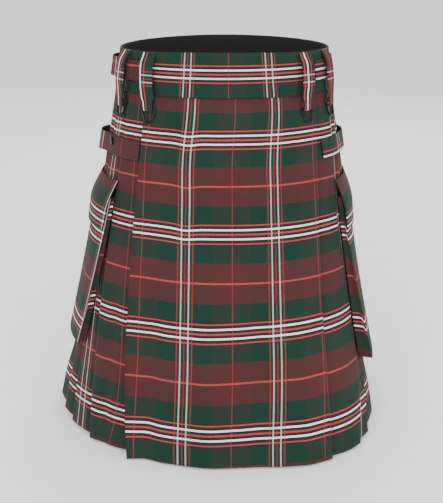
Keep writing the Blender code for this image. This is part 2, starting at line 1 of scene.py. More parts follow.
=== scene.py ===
"""Looks of a scottish kilt: tartan cloth, knife pleats, straps, cargo pockets and metal rings.

Metres, +Z up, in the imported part's own frame. The front faces -Y, and the origin is the middle of
the waist. A turn is an angle round the body in degrees: 0 is the front middle, 90 the side at +X.
"""

import logging
import math
from collections.abc import Callable, Iterator, Sequence
from dataclasses import dataclass, field
from enum import Enum
from functools import lru_cache
from typing import NamedTuple

import bmesh
import bpy
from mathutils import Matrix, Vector


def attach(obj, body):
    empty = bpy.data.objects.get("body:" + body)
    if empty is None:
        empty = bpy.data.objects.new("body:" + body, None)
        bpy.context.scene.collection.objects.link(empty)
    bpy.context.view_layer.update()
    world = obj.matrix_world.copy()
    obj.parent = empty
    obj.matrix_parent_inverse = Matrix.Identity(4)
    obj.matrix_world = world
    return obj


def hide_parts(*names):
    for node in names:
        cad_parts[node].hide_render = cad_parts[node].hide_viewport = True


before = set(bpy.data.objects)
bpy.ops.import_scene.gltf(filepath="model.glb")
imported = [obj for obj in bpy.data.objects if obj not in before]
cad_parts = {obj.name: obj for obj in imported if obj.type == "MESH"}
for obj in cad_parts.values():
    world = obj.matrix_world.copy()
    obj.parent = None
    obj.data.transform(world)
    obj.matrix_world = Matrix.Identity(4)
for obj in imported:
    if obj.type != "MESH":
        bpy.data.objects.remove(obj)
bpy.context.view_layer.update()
LOG = logging.getLogger("kilt")

MM = 0.001
GAP = 0.3 * MM
SETT = 142 * MM

# Thickness of the pressed twill with its turnings, of the stiffened waistband and of doubled tape
CLOTH = 1.4 * MM
BAND = 3.0 * MM
TAPE = 1.8 * MM

# Heights above the origin
SEAM = -59.0 * MM
SKIRT_TOP = SEAM - 1.6 * GAP
RISE_FROM = -518.0 * MM
APRON_HEM = -605.0 * MM
UNDER_HEM = -604.0 * MM
PLEAT_HEM = -606.0 * MM
HEM_RISE = 14.0 * MM

BODY_NAME = "kilt"


class Hold(Enum):
    """How a sheet of cloth is held."""

    HUNG = "hung"
    FOLDED = "folded"
    STRETCHED = "stretched"


class Side(Enum):
    """Side of the body, as the viewer sees it, with the sign of its turns."""

    LEFT = -1
    RIGHT = 1


class Section(NamedTuple):
    """Outline at one height: reach to each side, to the front and back, middle line, squareness."""

    height: float
    left: float
    right: float
    front: float
    back: float
    middle: float
    square_left: float
    square_right: float


class Edges(NamedTuple):
    """Turns of the lines that run down the front: both apron edges and the first fold per side."""

    height: float
    apron_left: float
    fold_left: float
    apron_right: float
    fold_right: float


class Layers(NamedTuple):
    """How the cloth lies at one height: apron stand-off, its lifted edge, under apron, pleat depth."""

    height: float
    apron: float
    lift: float
    under: float
    pleat_depth: float


class Mark(NamedTuple):
    """One value of a table: at a height, or at a share of the apron's width."""

    height: float
    value: float


SECTIONS = (
    Section(5 * MM, 155 * MM, 155 * MM, 130 * MM, 130 * MM, -6 * MM, 2.05, 2.05),
    Section(-59 * MM, 164.5 * MM, 162 * MM, 138 * MM, 139 * MM, -5 * MM, 2.05, 2.10),
    Section(-188 * MM, 188 * MM, 183.5 * MM, 153 * MM, 160 * MM, 7 * MM, 2.05, 2.25),
    Section(-281 * MM, 205 * MM, 195.5 * MM, 163 * MM, 172 * MM, 19 * MM, 2.05, 2.40),
    Section(-382 * MM, 225.5 * MM, 209.5 * MM, 174 * MM, 184 * MM, 33 * MM, 2.05, 2.55),
    Section(-489 * MM, 250 * MM, 226.5 * MM, 185 * MM, 197 * MM, 49 * MM, 2.03, 2.80),
    Section(-606 * MM, 283 * MM, 247 * MM, 196 * MM, 210 * MM, 66 * MM, 2.00, 3.10),
)
EDGES = (
    Edges(5 * MM, -49.5, -61.3, 57.2, 69.6),
    Edges(-59 * MM, -49.2, -61.6, 56.3, 69.9),
    Edges(-106 * MM, -47.7, -61.6, 54.3, 68.9),
    Edges(-244 * MM, -44.5, -60.6, 46.4, 60.3),
    Edges(-384 * MM, -40.4, -59.0, 40.6, 59.9),
    Edges(-489 * MM, -37.0, -55.9, 37.3, 57.7),
    Edges(-606 * MM, -32.4, -51.0, 34.9, 48.3),
)
LAYERS = (
    Layers(-59 * MM, 1.2 * MM, 0.0 * MM, 2.4 * MM, 6.6 * MM),
    Layers(-127 * MM, 0.8 * MM, 1.0 * MM, 2.8 * MM, 6.8 * MM),
    Layers(-188 * MM, 0.4 * MM, 3.0 * MM, 3.6 * MM, 7.4 * MM),
    Layers(-382 * MM, 0.0 * MM, 8.0 * MM, 7.5 * MM, 9.0 * MM),
    Layers(-606 * MM, 0.0 * MM, 12.0 * MM, 11.0 * MM, 11.0 * MM),
)

# Setts counted down the cloth: they grow a little longer towards the hem, where it swings out
WEFT_DOWN = (
    Mark(-52 * MM, 0.5),
    Mark(-116.9 * MM, 1.0),
    Mark(-182.6 * MM, 1.5),
    Mark(-251.4 * MM, 2.0),
    Mark(-323.6 * MM, 2.5),
    Mark(-399.1 * MM, 3.0),
    Mark(-474.6 * MM, 3.5),
    Mark(-554.5 * MM, 4.0),
    Mark(-637.0 * MM, 4.5),
)
# How far the apron's lines down the cloth stray sideways, in setts
WARP_DRIFT = (
    Mark(-59 * MM, 0.0),
    Mark(-77 * MM, 0.002),
    Mark(-143 * MM, 0.030),
    Mark(-215 * MM, 0.004),
    Mark(-299 * MM, -0.013),
    Mark(-436 * MM, -0.020),
    Mark(-498 * MM, -0.006),
    Mark(-576 * MM, 0.034),
    Mark(-606 * MM, 0.045),
)
# Setts counted across the apron, at shares of its width from the free edge
WARP_ACROSS = (
    Mark(1.214, 2.0),
    Mark(0.9775, 1.5),
    Mark(0.737, 1.0),
    Mark(0.521, 0.5),
    Mark(0.287, 0.0),
    Mark(0.048, -0.5),
    Mark(-0.190, -1.0),
)
# How far the under apron's one red line down the cloth lies from its fold, in metres
PANEL_LINE = (
    Mark(-59 * MM, 22 * MM),
    Mark(-155 * MM, 30.5 * MM),
    Mark(-214 * MM, 36.7 * MM),
    Mark(-318 * MM, 45.2 * MM),
    Mark(-465 * MM, 56 * MM),
    Mark(-551 * MM, 52 * MM),
    Mark(-606 * MM, 39 * MM),
)


def smooth_row(table: Sequence, height: float):
    """Row of a table at any height, on a smooth curve through the table's own rows.

    Args:
        table: rows from the highest to the lowest, each a named tuple that starts with its height.
        height: where the row is wanted.

    Returns:
        A row of the table's own kind.
    """
    if height >= table[0].height:
        return table[0]
    if height <= table[-1].height:
        return table[-1]
    lower = next(index for index, row in enumerate(table) if row.height <= height)
    upper = lower - 1
    before = table[max(upper - 1, 0)]
    after = table[min(lower + 1, len(table) - 1)]
    span = table[lower].height - table[upper].height
    share = (height - table[upper].height) / span
    values = []
    for ahead, start, end, beyond in zip(before, table[upper], table[lower], after):
        slope_start = (end - ahead) / (table[lower].height - before.height) * span
        slope_end = (beyond - start) / (after.height - table[upper].height) * span
        values.append(
            (2 * share**3 - 3 * share**2 + 1) * start
            + (share**3 - 2 * share**2 + share) * slope_start
            + (3 * share**2 - 2 * share**3) * end
            + (share**3 - share**2) * slope_end
        )
    return type(table[0])(*values)


def between(start: float, end: float, share: float) -> float:
    """Value at a share of the way from start to end."""
    return start + (end - start) * share


def ease(share: float) -> float:
    """A share from 0 to 1 with a soft start and end."""
    share = min(max(share, 0.0), 1.0)
    return share * share * (3 - 2 * share)


def curve_through(points: Sequence[tuple[float, ...]], steps: int) -> list[tuple[float, ...]]:
    """A smooth run of points through a few given ones.

    Args:
        points: the given points, of any number of values each.
        steps: how many pieces each stretch between two given points is divided into.

    Returns:
        The finer run, from the first given point to the last.
    """
    run = []
    last = len(points) - 1
    for index in range(last):
        four = [points[min(max(index + step, 0), last)] for step in (-1, 0, 1, 2)]
        for step in range(steps):
            share = step / steps
            run.append(tuple(
                0.5 * (2 * b + (c - a) * share + (2 * a - 5 * b + 4 * c - d) * share**2
                       + (3 * b - a - 3 * c + d) * share**3)
                for a, b, c, d in zip(*four)
            ))
    run.append(tuple(points[last]))
    return run


def fine_points(points: Sequence[tuple[float, float]],
                steps: Sequence[int]) -> Iterator[tuple[float, float]]:
    """Points on the straight stretches between given ones, without the first given one.

    Args:
        points: the given points.
        steps: how many pieces each stretch is divided into.

    Returns:
        The points, in order.
    """
    for start, end, count in zip(points, points[1:], steps):
        for step in range(1, count):
            share = step / count
            yield between(start[0], end[0], share), between(start[1], end[1], share)
        yield end


def running_lengths(points: Sequence[Vector]) -> list[float]:
    """Length along a run of points up to each of them, starting with 0."""
    runs = [0.0]
    for start, end in zip(points, points[1:]):
        runs.append(runs[-1] + (end - start).length)
    return runs


class Body:
    """The form that all the cloth lies on, one smooth ring at each height."""

    ARC_STEP = 1.0

    @lru_cache(maxsize=None)
    def section(self, height: float) -> Section:
        """Outline at a height."""
        return smooth_row(SECTIONS, height)

    @lru_cache(maxsize=None)
    def edges(self, height: float) -> Edges:
        """Turns of the front's edges at a height."""
        return smooth_row(EDGES, height)

    @lru_cache(maxsize=None)
    def layers(self, height: float) -> Layers:
        """How the cloth lies at a height."""
        return smooth_row(LAYERS, height)

    @lru_cache(maxsize=None)
    def lengths(self, height: float) -> list[float]:
        """Lengths round the ring at a height, one for each step of turn from the back middle.

        Args:
            height: height of the ring that is meant.

        Returns:
            The lengths, starting with 0.
        """
        count = int(360 / self.ARC_STEP)
        turns = [-180.0 + self.ARC_STEP * index for index in range(count + 1)]
        return running_lengths([self.point(turn, height) for turn in turns])

    def point(self, turn: float, height: float, outward: float = 0.0) -> Vector:
        """Point of the ring, moved out square to it.

        Args:
            turn: degrees round the body.
            height: height of the ring.
            outward: how far the point stands off the ring.

        Returns:
            The point.
        """
        section = self.section(height)
        sine = math.sin(math.radians(turn))
        cosine = math.cos(math.radians(turn))
        reach_x = section.right if sine >= 0 else section.left
        square = section.square_right if sine >= 0 else section.square_left
        reach_y = section.front + section.middle if cosine >= 0 else section.back - section.middle
        share_x = abs(sine) / reach_x
        share_y = abs(cosine) / reach_y
        radius = (share_x**square + share_y**square) ** (-1 / square)
        normal = Vector((math.copysign(share_x ** (square - 1) / reach_x, sine),
                         -math.copysign(share_y ** (square - 1) / reach_y, cosine), 0.0))
        middle = Vector((radius * sine, section.middle - radius * cosine, height))
        return middle + normal.normalized() * outward

    def length_at(self, turn: float, height: float) -> float:
        """Length from the back middle, round by the left and the front, to a turn.

        Args:
            turn: degrees round the body.
            height: height of the ring that is meant.

        Returns:
            The length.
        """
        lengths = self.lengths(height)
        place = (turn + 180.0) / self.ARC_STEP
        index = min(max(int(place), 0), len(lengths) - 2)
        return lengths[index] + (lengths[index + 1] - lengths[index]) * (place - index)

    def turn_at(self, length: float, height: float) -> float:
        """Turn at a length from the back middle; lengths past the back middle run on.

        Args:
            length: length round the ring.
            height: height of the ring that is meant.

        Returns:
            The turn, in degrees.
        """
        lengths = self.lengths(height)
        if length < 0:
            return -180.0 + length / lengths[1] * self.ARC_STEP
        if length > lengths[-1]:
            return 180.0 + (length - lengths[-1]) / (lengths[-1] - lengths[-2]) * self.ARC_STEP
        low = 0
        high = len(lengths) - 1
        while high - low > 1:
            half = (low + high) // 2
            if lengths[half] <= length:
                low = half
            else:
                high = half
        share = (length - lengths[low]) / (lengths[low + 1] - lengths[low])
        return -180.0 + (low + share) * self.ARC_STEP

    def tangent(self, turn: float, height: float) -> Vector:
        """Level direction along the ring at a turn."""
        return (self.point(turn + 0.5, height) - self.point(turn - 0.5, height)).normalized()

    def outward(self, turn: float, height: float) -> Vector:
        """Level direction straight out of the ring at a turn."""
        return (self.point(turn, height, 10 * MM) - self.point(turn, height)).normalized()

    def pleat_depth(self, height: float) -> float:
        """Depth of a pleat's layers, which the seam under the waistband presses flat."""
        pressed = between(0.3, 1.0, ease((SKIRT_TOP - height) / (13 * MM)))
        return self.layers(height).pleat_depth * pressed

    def side_rise(self, turn: float, height: float) -> float:
        """How much a pleat's cloth is lifted at a turn: the hem rises towards the sides."""
        share = max((RISE_FROM - height) / (RISE_FROM - PLEAT_HEM), 0.0)
        return HEM_RISE * share * math.sin(math.radians(turn)) ** 6

    def rim_height(self, turn: float) -> float:
        """Height of the waistband's top edge, which rises a little at the front and the back."""
        cosine = math.cos(math.radians(turn))
        return (3.4 if cosine >= 0 else 3.0) * MM * cosine * cosine


@dataclass(frozen=True)
class Crease:
    """A soft trough or ridge in a cloth, from one place to another.

    Turns are degrees round the body, width is in degrees to each side, and depth is in metres,
    inward where it is negative.
    """

    turn_top: float
    height_top: float
    turn_foot: float
    height_foot: float
    width: float
    depth: float

    def push(self, turn: float, height: float) -> float:
        """How far the crease moves the cloth outward at a place.

        Args:
            turn: degrees round the body.
            height: height of the ring that is meant.

        Returns:
            The move, in metres.
        """
        span = self.height_top - self.height_foot
        share = (self.height_top - height) / span
        if not 0 < share < 1:
            return 0.0
        across = (turn - between(self.turn_top, self.turn_foot, share)) / self.width
        # A crease fades out at both ends, unless it runs off the hem
        if self.height_foot < PLEAT_HEM:
            fade = ease(share * 2.2)
        else:
            fade = math.sin(math.pi * share ** 0.8)
        return self.depth * fade * math.exp(-across * across)


def crease_rows(*rows: tuple[float, ...]) -> tuple[Crease, ...]:
    """Creases from rows of their fields, with heights and depths in millimetres."""
    return tuple(Crease(top, high * MM, foot, low * MM, width, depth * MM)
                 for top, high, foot, low, width, depth in rows)


# A node's input: a number, a colour, or the output socket that feeds it
Value = float | tuple[float, ...] | bpy.types.NodeSocket


def to_linear(code: str) -> tuple[float, float, float, float]:
    """Linear colour of an sRGB hex code."""
    parts = [int(code[index:index + 2], 16) / 255 for index in (1, 3, 5)]
    linear = [part / 12.92 if part <= 0.04045 else ((part + 0.055) / 1.055) ** 2.4 for part in parts]
    return (linear[0], linear[1], linear[2], 1.0)


def add_node(tree: bpy.types.NodeTree, kind: str, settings: dict | None = None,
             inputs: dict | None = None) -> bpy.types.Node:
    """Add a node with its settings and its inputs.

    Args:
        tree: the material's node tree.
        kind: the node's type name.
        settings: values of the node's own properties.
        inputs: by input name or number, either a value or the output socket that feeds it.

    Returns:
        The node.
    """
    node = tree.nodes.new(kind)
    for name, value in (settings or {}).items():
        setattr(node, name, value)
    feed(tree, node, inputs or {})
    return node


def feed(tree: bpy.types.NodeTree, node: bpy.types.Node, inputs: dict) -> None:
    """Give a node its inputs.

    Args:
        tree: the material's node tree.
        node: the node.
        inputs: by input name or number, either a value or the output socket that feeds it.
    """
    for name, value in inputs.items():
        if isinstance(value, bpy.types.NodeSocket):
            tree.links.new(value, node.inputs[name])
        else:
            node.inputs[name].default_value = value


def calculate(tree: bpy.types.NodeTree, operation: str, *values: Value,
              clamp: bool = False) -> bpy.types.NodeSocket:
    """Result of a sum over values and sockets, kept from 0 to 1 if it is clamped."""
    settings = {"operation": operation, "use_clamp": clamp}
    return add_node(tree, "ShaderNodeMath", settings, dict(enumerate(values))).outputs[0]


def spread(tree: bpy.types.NodeTree, value: bpy.types.NodeSocket, start: tuple[float, float],
           end: tuple[float, float]) -> bpy.types.NodeSocket:
    """A socket's value, moved from one range to another."""
    inputs = dict(enumerate((value, *start, *end)))
    return add_node(tree, "ShaderNodeMapRange", inputs=inputs).outputs[0]


def noise(tree: bpy.types.NodeTree, scale: float, detail: float,
          roughness: float = 0.5) -> bpy.types.NodeSocket:
    """Noise that is fixed in the piece's own place."""
    place = add_node(tree, "ShaderNodeTexCoord").outputs["Object"]
    return add_node(tree, "ShaderNodeTexNoise", inputs={
        "Vector": place, "Scale": scale, "Detail": detail, "Roughness": roughness}).outputs[0]


def mix(tree: bpy.types.NodeTree, share: Value, start: Value, end: Value) -> bpy.types.NodeSocket:
    """Colour at a share of the way from one colour to another."""
    inputs = {0: share, 6: start, 7: end}
    return add_node(tree, "ShaderNodeMix", {"data_type": "RGBA"}, inputs).outputs[2]


def relief(tree: bpy.types.NodeTree, height: bpy.types.NodeSocket, strength: float,
           distance: float) -> bpy.types.NodeSocket:
    """Direction of a surface that a height makes uneven."""
    return add_node(tree, "ShaderNodeBump", inputs={
        "Strength": strength, "Distance": distance, "Height": height}).outputs[0]


def place_object(name: str, data: bpy.types.ID) -> bpy.types.Object:
    """A new object in the scene."""
    piece = bpy.data.objects.new(name, data)
    bpy.context.scene.collection.objects.link(piece)
    return piece


def new_material(name: str) -> tuple[bpy.types.Material, bpy.types.NodeTree, bpy.types.Node]:
    """An empty material with its tree and its shader."""
    material = bpy.data.materials.new(name)
    material.use_nodes = True
    return material, material.node_tree, material.node_tree.nodes["Principled BSDF"]


class Stripe(NamedTuple):
    """A stripe of the sett: where it starts, in setts from a pivot, its colour, how it dominates."""

    start: float
    colour: str
    weight: float


@dataclass(frozen=True)
class Tartan:
    """Wool tartan, two-up two-down twill, woven in green and burgundy with fine red and white lines.

    Wool twill has no gloss and a short nap, so it is rough with a soft sheen, and the diagonal rib
    of the weave shows where warp and weft threads differ in colour.
    """

    green: str = "#0B281E"
    burgundy: str = "#3E1D1C"
    dark: str = "#1F191A"
    red: str = "#8E3533"
    white: str = "#D2D8D2"
    # A real rib is 0.7 mm; it is drawn at 2.3 mm so that it shows
    rib: float = 2.3 * MM
    # How far the group's outer lines lie from its middle, and a line's width, in setts
    warp_lines: tuple[float, float] = (0.080, 0.0145)
    weft_lines: tuple[float, float] = (0.095, 0.0175)

    def stripes(self, reach: float, line: float) -> tuple[Stripe, ...]:
        """The sett from one thin red line to the next, about the group of five fine lines.

        Args:
            reach: how far the group's outer lines lie from its middle, in setts.
            line: width of one line, in setts.

        Returns:
            Every stripe from its start, in order.
        """
        outer = 0.5 - reach
        inner = 0.5 - reach / 2
        half = [
            Stripe(0.0, self.red, 1.0),
            Stripe(line / 2, self.burgundy, 0.0),
            Stripe(0.205, self.green, 0.0),
            Stripe(outer - line / 2 - 0.012, self.dark, 0.2),
            Stripe(outer - line / 2, self.red, 1.0),
            Stripe(outer + line / 2, self.dark, 0.3),
            Stripe(inner - line / 2, self.white, 1.0),
            Stripe(inner + line / 2, self.dark, 0.3),
            Stripe(0.5 - line / 2, self.red, 1.0),
        ]
        mirrored = []
        for stripe, following in zip(half[:-1], half[1:]):
            mirrored.insert(0, Stripe(1.0 - following.start, stripe.colour, stripe.weight))
        return tuple(half + mirrored)

    def ramp(self, tree: bpy.types.NodeTree, fraction: bpy.types.NodeSocket,
             stripes: tuple[Stripe, ...]) -> bpy.types.Node:
        """Colours of one set of threads over the sett, with their weight as alpha.

        Args:
            tree: the material's node tree.
            fraction: the socket that gives the place within the sett.
            stripes: the stripes, in order.

        Returns:
            The colour ramp.
        """
        node = add_node(tree, "ShaderNodeValToRGB", inputs={"Fac": fraction})
        ramp = node.color_ramp
        ramp.interpolation = "CONSTANT"
        for _ in range(len(stripes) - 2):
            ramp.elements.new(0.5)
        for element, stripe in zip(ramp.elements, stripes):
            element.position = stripe.start
        for element, stripe in zip(ramp.elements, stripes):
            red, green, blue, _ = to_linear(stripe.colour)
            element.color = (red, green, blue, stripe.weight)
        return node

    def weave(self, tree: bpy.types.NodeTree) -> tuple[bpy.types.NodeSocket, bpy.types.NodeSocket]:
        """Cross both sets of threads, read from the cloth's own thread map in setts.

        Args:
            tree: the material's node tree.

        Returns:
            The woven colour, and the rib's wave.
        """
        threads = add_node(tree, "ShaderNodeUVMap", {"uv_map": "Threads"})
        parts = add_node(tree, "ShaderNodeSeparateXYZ", inputs={0: threads.outputs[0]})
        across, down = parts.outputs[0], parts.outputs[1]
        ramps = []
        for line, lines in ((across, self.warp_lines), (down, self.weft_lines)):
            fraction = calculate(tree, "FRACT", calculate(tree, "ADD", line, 100.5))
            ramps.append(self.ramp(tree, fraction, self.stripes(*lines)))
        warp, weft = ramps
        both = calculate(tree, "ADD", across, down)
        wave = calculate(tree, "SINE", calculate(tree, "MULTIPLY", both, 2 * math.pi * SETT / self.rib))
        # The weft is beaten close and covers most of the warp; a warp line shows as a row of dots
        height = calculate(tree, "MULTIPLY_ADD", warp.outputs["Alpha"], 0.20, 0.08)
        ribs = calculate(tree, "MULTIPLY", wave, height)
        cover = calculate(tree, "MULTIPLY_ADD", weft.outputs["Alpha"], 0.07, 0.86)
        cover = calculate(tree, "MULTIPLY_ADD", warp.outputs["Alpha"], -0.24, cover)
        share = calculate(tree, "ADD", cover, ribs, clamp=True)
        return mix(tree, share, warp.outputs[0], weft.outputs[0]), wave

    def make(self) -> bpy.types.Material:
        """The material, with its weave, dye, nap and rib.

        Returns:
            The finished material.
        """
        material, tree, shader = new_material("Wool tartan twill")
        woven, wave = self.weave(tree)
        # Dye and pressing vary over a hand's width, and nap over a few threads
        tone = noise(tree, 11.0, 3.0, 0.55)
        nap = noise(tree, 420.0, 2.0, 0.6)
        value = calculate(tree, "MULTIPLY", spread(tree, tone, (0.3, 0.7), (0.90, 1.08)),
                          spread(tree, nap, (0.3, 0.7), (0.86, 1.14)))
        colour = add_node(tree, "ShaderNodeHueSaturation", inputs={"Color": woven, "Value": value})
        feed(tree, shader, {
            "Base Color": colour.outputs[0],
            "Roughness": spread(tree, nap, (0.3, 0.7), (0.80, 0.94)),
            "Normal": relief(tree, calculate(tree, "MULTIPLY_ADD", nap, 1.4, wave), 0.35, 0.12 * MM),
            "Sheen Weight": 0.03,
            "Sheen Roughness": 0.6,
            "Specular IOR Level": 0.15,
        })
        return material


@dataclass(frozen=True)
class PaintedShadeLining:
    """Cotton twill inside the waistband, near black as painted shade for the dark inside of the opening:
    flat, matt, with a fine diagonal rib.
    """

    # Near black all over: painted shade for the inside of the opening; the lighter tone comes in at
    # random
    shade_black: str = "#060607"
    worn: str = "#0C0C0D"
    # Cotton lining has a rib of about 0.8 mm, and a wave one unit wide has this scale
    rib: float = 0.8 * MM
    wave_scale: float = 0.31

    def make(self) -> bpy.types.Material:
        """The material, patterned in the cloth's own place.

        Returns:
            The finished material.
        """
        material, tree, shader = new_material("Near-black lining, painted shade")
        place = add_node(tree, "ShaderNodeTexCoord")
        rib = add_node(tree, "ShaderNodeTexWave", {"bands_direction": "DIAGONAL"}, {
            "Vector": place.outputs["Object"], "Scale": self.wave_scale / self.rib, "Distortion": 0.4})
        feed(tree, shader, {
            "Base Color": mix(tree, noise(tree, 40.0, 4.0), to_linear(self.shade_black), to_linear(self.worn)),
            "Normal": relief(tree, rib.outputs[0], 0.4, 0.1 * MM),
            "Roughness": 0.92,
        })
        return material


@dataclass(frozen=True)
class Gunmetal:
    """Steel wire plated dark, tumbled smooth: a dull mirror with rubbed, slightly brighter places."""

    plate: str = "#242528"
    rubbed: str = "#3C3E42"

    def make(self) -> bpy.types.Material:
        """The material, worn in the metal's own place.

        Returns:
            The finished material.
        """
        material, tree, shader = new_material("Gunmetal plated steel")
        wear = noise(tree, 140.0, 3.0)
        share = spread(tree, wear, (0.48, 0.72), (0.0, 1.0))
        feed(tree, shader, {
            "Base Color": mix(tree, share, to_linear(self.plate), to_linear(self.rubbed)),
            "Roughness": spread(tree, wear, (0.3, 0.7), (0.24, 0.40)),
            "Normal": relief(tree, wear, 0.08, 0.05 * MM),
            "Metallic": 1.0,
        })
        return material


@dataclass(frozen=True)
class Thread:
    """Polyester sewing thread, dark green, matt, with single stitches a little lighter or darker."""

    dark: str = "#131A17"
    light: str = "#2A332D"

    def make(self) -> bpy.types.Material:
        """The material, which changes from stitch to stitch, 3.4 mm apart.

        Returns:
            The finished material.
        """
        material, tree, shader = new_material("Polyester sewing thread")
        stitch = noise(tree, 300.0, 1.0)
        feed(tree, shader, {
            "Base Color": mix(tree, stitch, to_linear(self.dark), to_linear(self.light)),
            "Roughness": 0.6,
        })
        return material


@dataclass
class Finishes:
    """Every finish of the kilt, made once."""

    thread: bpy.types.Material
    tartan: bpy.types.Material
    # The waistband's inner face: a lining, near black as painted shade
    lining: bpy.types.Material
    gunmetal: bpy.types.Material


class Knot(NamedTuple):
    """A point of a cloth's grid: its place, and its threads across and down in setts."""

    place: Vector
    across: float
    down: float


# Seams of a cloth: each a run of places as shares of its grid, across and down
Seams = tuple[tuple[tuple[float, float], ...], ...]


@dataclass
class Cloth:
    """One piece of cloth, made as a grid and given its thickness.

    The grid's rows run down the cloth, and its columns run towards +X at the front, so that the
    faces point outwards.
    """

    node: str
    thickness: float
    hold: Hold
    rests_on: tuple[str, ...]
    finishes: Finishes
    lined: bool = False
    joined: bool = False
    bevel: float = 0.0
    seams: Seams = ()
    # Stitches are 2.5 mm long, one each 3.4 mm, of thread 0.6 mm thick
    stitch: float = 2.5 * MM
    pitch: float = 3.4 * MM
    thread: float = 0.6 * MM
    sunk: float = 0.05 * MM
    samples: int = 300

    def build(self, columns: int, rows: int, knot: Callable[[int, int], Knot]) -> bpy.types.Object:
        """Args:
            columns: how many points the grid has across.
            rows: how many points the grid has down.
            knot: the grid's point at a column and a row.

        Returns:
            The finished piece.
        """
        knots = [[knot(column, row) for column in range(columns)] for row in range(rows)]
        width = max(self.run(row) for row in knots)
        length = max(self.run(line) for line in zip(*knots))
        mesh = bpy.data.meshes.new(f"{self.node}_cloth")
        faces = [
            (row * columns + column, (row + 1) * columns + column,
             (row + 1) * columns + column + 1, row * columns + column + 1)
            for row in range(rows - 1)
            for column in range(columns - 1)
        ]
        flat = [item for row in knots for item in row]
        mesh.from_pydata([item.place for item in flat], [], faces)
        threads = mesh.uv_layers.new(name="Threads")
        for loop in mesh.loops:
            item = flat[loop.vertex_index]
            threads.data[loop.index].uv = (item.across, item.down)
        if self.joined:
            self.join_corners(mesh)
        mesh.shade_smooth()
        mesh.materials.append(self.finishes.tartan)
        piece = place_object(mesh.name, mesh)
        self.thicken(piece)
        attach(piece, BODY_NAME)
        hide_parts(self.node)
        list(self.rests_on)
        LOG.info("%s: cut %.0f by %.0f mm", piece.name, width / MM, length / MM)
        if self.seams:
            self.sew(knots)
        return piece

    def surface(self, knots: list[list[Knot]], across: float, down: float) -> tuple[Vector, Vector]:
        """Place on the grid at shares across and down, and the direction straight out of it.

        Args:
            knots: the grid, row by row.
            across: share of the way across.
            down: share of the way down.

        Returns:
            The place, and the direction.
        """
        column = min(int(across * (len(knots[0]) - 1)), len(knots[0]) - 2)
        row = min(int(down * (len(knots) - 1)), len(knots) - 2)
        share_across = across * (len(knots[0]) - 1) - column
        share_down = down * (len(knots) - 1) - row
        corner = knots[row][column].place
        right = knots[row][column + 1].place
        foot = knots[row + 1][column].place
        far = knots[row + 1][column + 1].place
        place = corner.lerp(right, share_across).lerp(foot.lerp(far, share_across), share_down)
        return place, (foot - corner).cross(right - corner).normalized()

    def sew(self, knots: list[list[Knot]]) -> None:
        """Lay rows of single stitches on the cloth's outer face.

        Args:
            knots: the grid, row by row.
        """
        places = []
        faces = []
        for seam in self.seams:
            for start, end in self.stitches(knots, seam):
                along = (end[0] - start[0]).normalized()
                outward = (start[1] + end[1]).normalized()
                aside = along.cross(outward) * self.thread / 2
                middle = (start[0] + end[0]) / 2 + outward * self.thickness / 2
                first = len(places)
                places += [
                    start[0] + outward * (self.thickness / 2 - self.sunk),
                    middle + aside,
                    middle + outward * self.thread * 0.7,
                    middle - aside,
                    middle - outward * self.thread * 0.4,
                    end[0] + outward * (self.thickness / 2 - self.sunk),
                ]
                for corner in range(4):
                    one = first + 1 + corner
                    two = first + 1 + (corner + 1) % 4
                    faces += [(first, one, two), (first + 5, two, one)]
        mesh = bpy.data.meshes.new(f"{self.node}_stitching")
        mesh.from_pydata(places, [], faces)
        mesh.shade_smooth()
        mesh.materials.append(self.finishes.thread)
        piece = place_object(mesh.name, mesh)
        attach(piece, BODY_NAME)

    def stitches(self, knots: list[list[Knot]], seam: Sequence[tuple[float, float]]) -> Iterator[tuple]:
        """Start and end of every stitch of a seam, each a place and a direction out of the cloth.

        Args:
            knots: the grid, row by row.
            seam: corners of the seam's line.

        Returns:
            The stitches, in order.
        """
        points = []
        for start, end in zip(seam, seam[1:]):
            for step in range(self.samples):
                share = step / (self.samples - 1)
                points.append(self.surface(knots, between(start[0], end[0], share),
                                           between(start[1], end[1], share)))
        run = 0.0
        begun = None
        for before, point in zip(points, points[1:]):
            run += (point[0] - before[0]).length
            if begun is None and run >= self.pitch - self.stitch:
                begun = point
            if begun is not None and run >= self.pitch:
                yield begun, point
                run = 0.0
                begun = None

    @staticmethod
    def run(line: Sequence[Knot]) -> float:
        """Length along a line of the grid."""
        return sum((end.place - start.place).length for start, end in zip(line, line[1:]))

    @staticmethod
    def join_corners(mesh: bpy.types.Mesh) -> None:
        """Join the points of the grid that fall together at a pouch's lower corners.

        Args:
            mesh: the cloth's mesh.
        """
        cage = bmesh.new()
        cage.from_mesh(mesh)
        bmesh.ops.remove_doubles(cage, verts=cage.verts, dist=0.02 * MM)
        cage.to_mesh(mesh)
        cage.free()

    def thicken(self, piece: bpy.types.Object) -> None:
        """Give the cloth its thickness, with its inner face lined in near-black painted shade if it has
        a lining.

        Args:
            piece: the cloth.
        """
        solid = piece.modifiers.new("Thickness", "SOLIDIFY")
        solid.thickness = self.thickness
        solid.offset = 0.0
        if self.lined:
            piece.data.materials.append(self.finishes.lining)
            solid.material_offset = 1
        if self.bevel:
            edge = piece.modifiers.new("Pressed edge", "BEVEL")
            edge.width = self.bevel
            edge.segments = 2
            edge.limit_method = "ANGLE"
            edge.angle_limit = math.radians(60)
            edge.harden_normals = False


@dataclass
class Assembly:
    """What every sub-assembly of the kilt shares: the body's form and the finishes."""

    body: Body
    finishes: Finishes
    creases: tuple[Crease, ...] = ()

    def crease(self, turn: float, height: float) -> float:
        """How far all creases together move the cloth outward."""
        return sum(crease.push(turn, height) for crease in self.creases)

    def cloth(self, node: str, thickness: float, hold: Hold, rests_on: tuple[str, ...],
              **options: bool | float) -> Cloth:
        """A cloth piece of this kilt, ready to be built."""
        return Cloth(node, thickness, hold, rests_on, self.finishes, **options)

    def weft(self, height: float, lower: float = 0.0) -> float:
        """Setts down the cloth at a height.

        Args:
            height: height on the body.
            lower: how much lower than the apron's this cloth's stripes lie.

        Returns:
            Setts down the cloth.
        """
        return smooth_row(WEFT_DOWN, height + lower).value


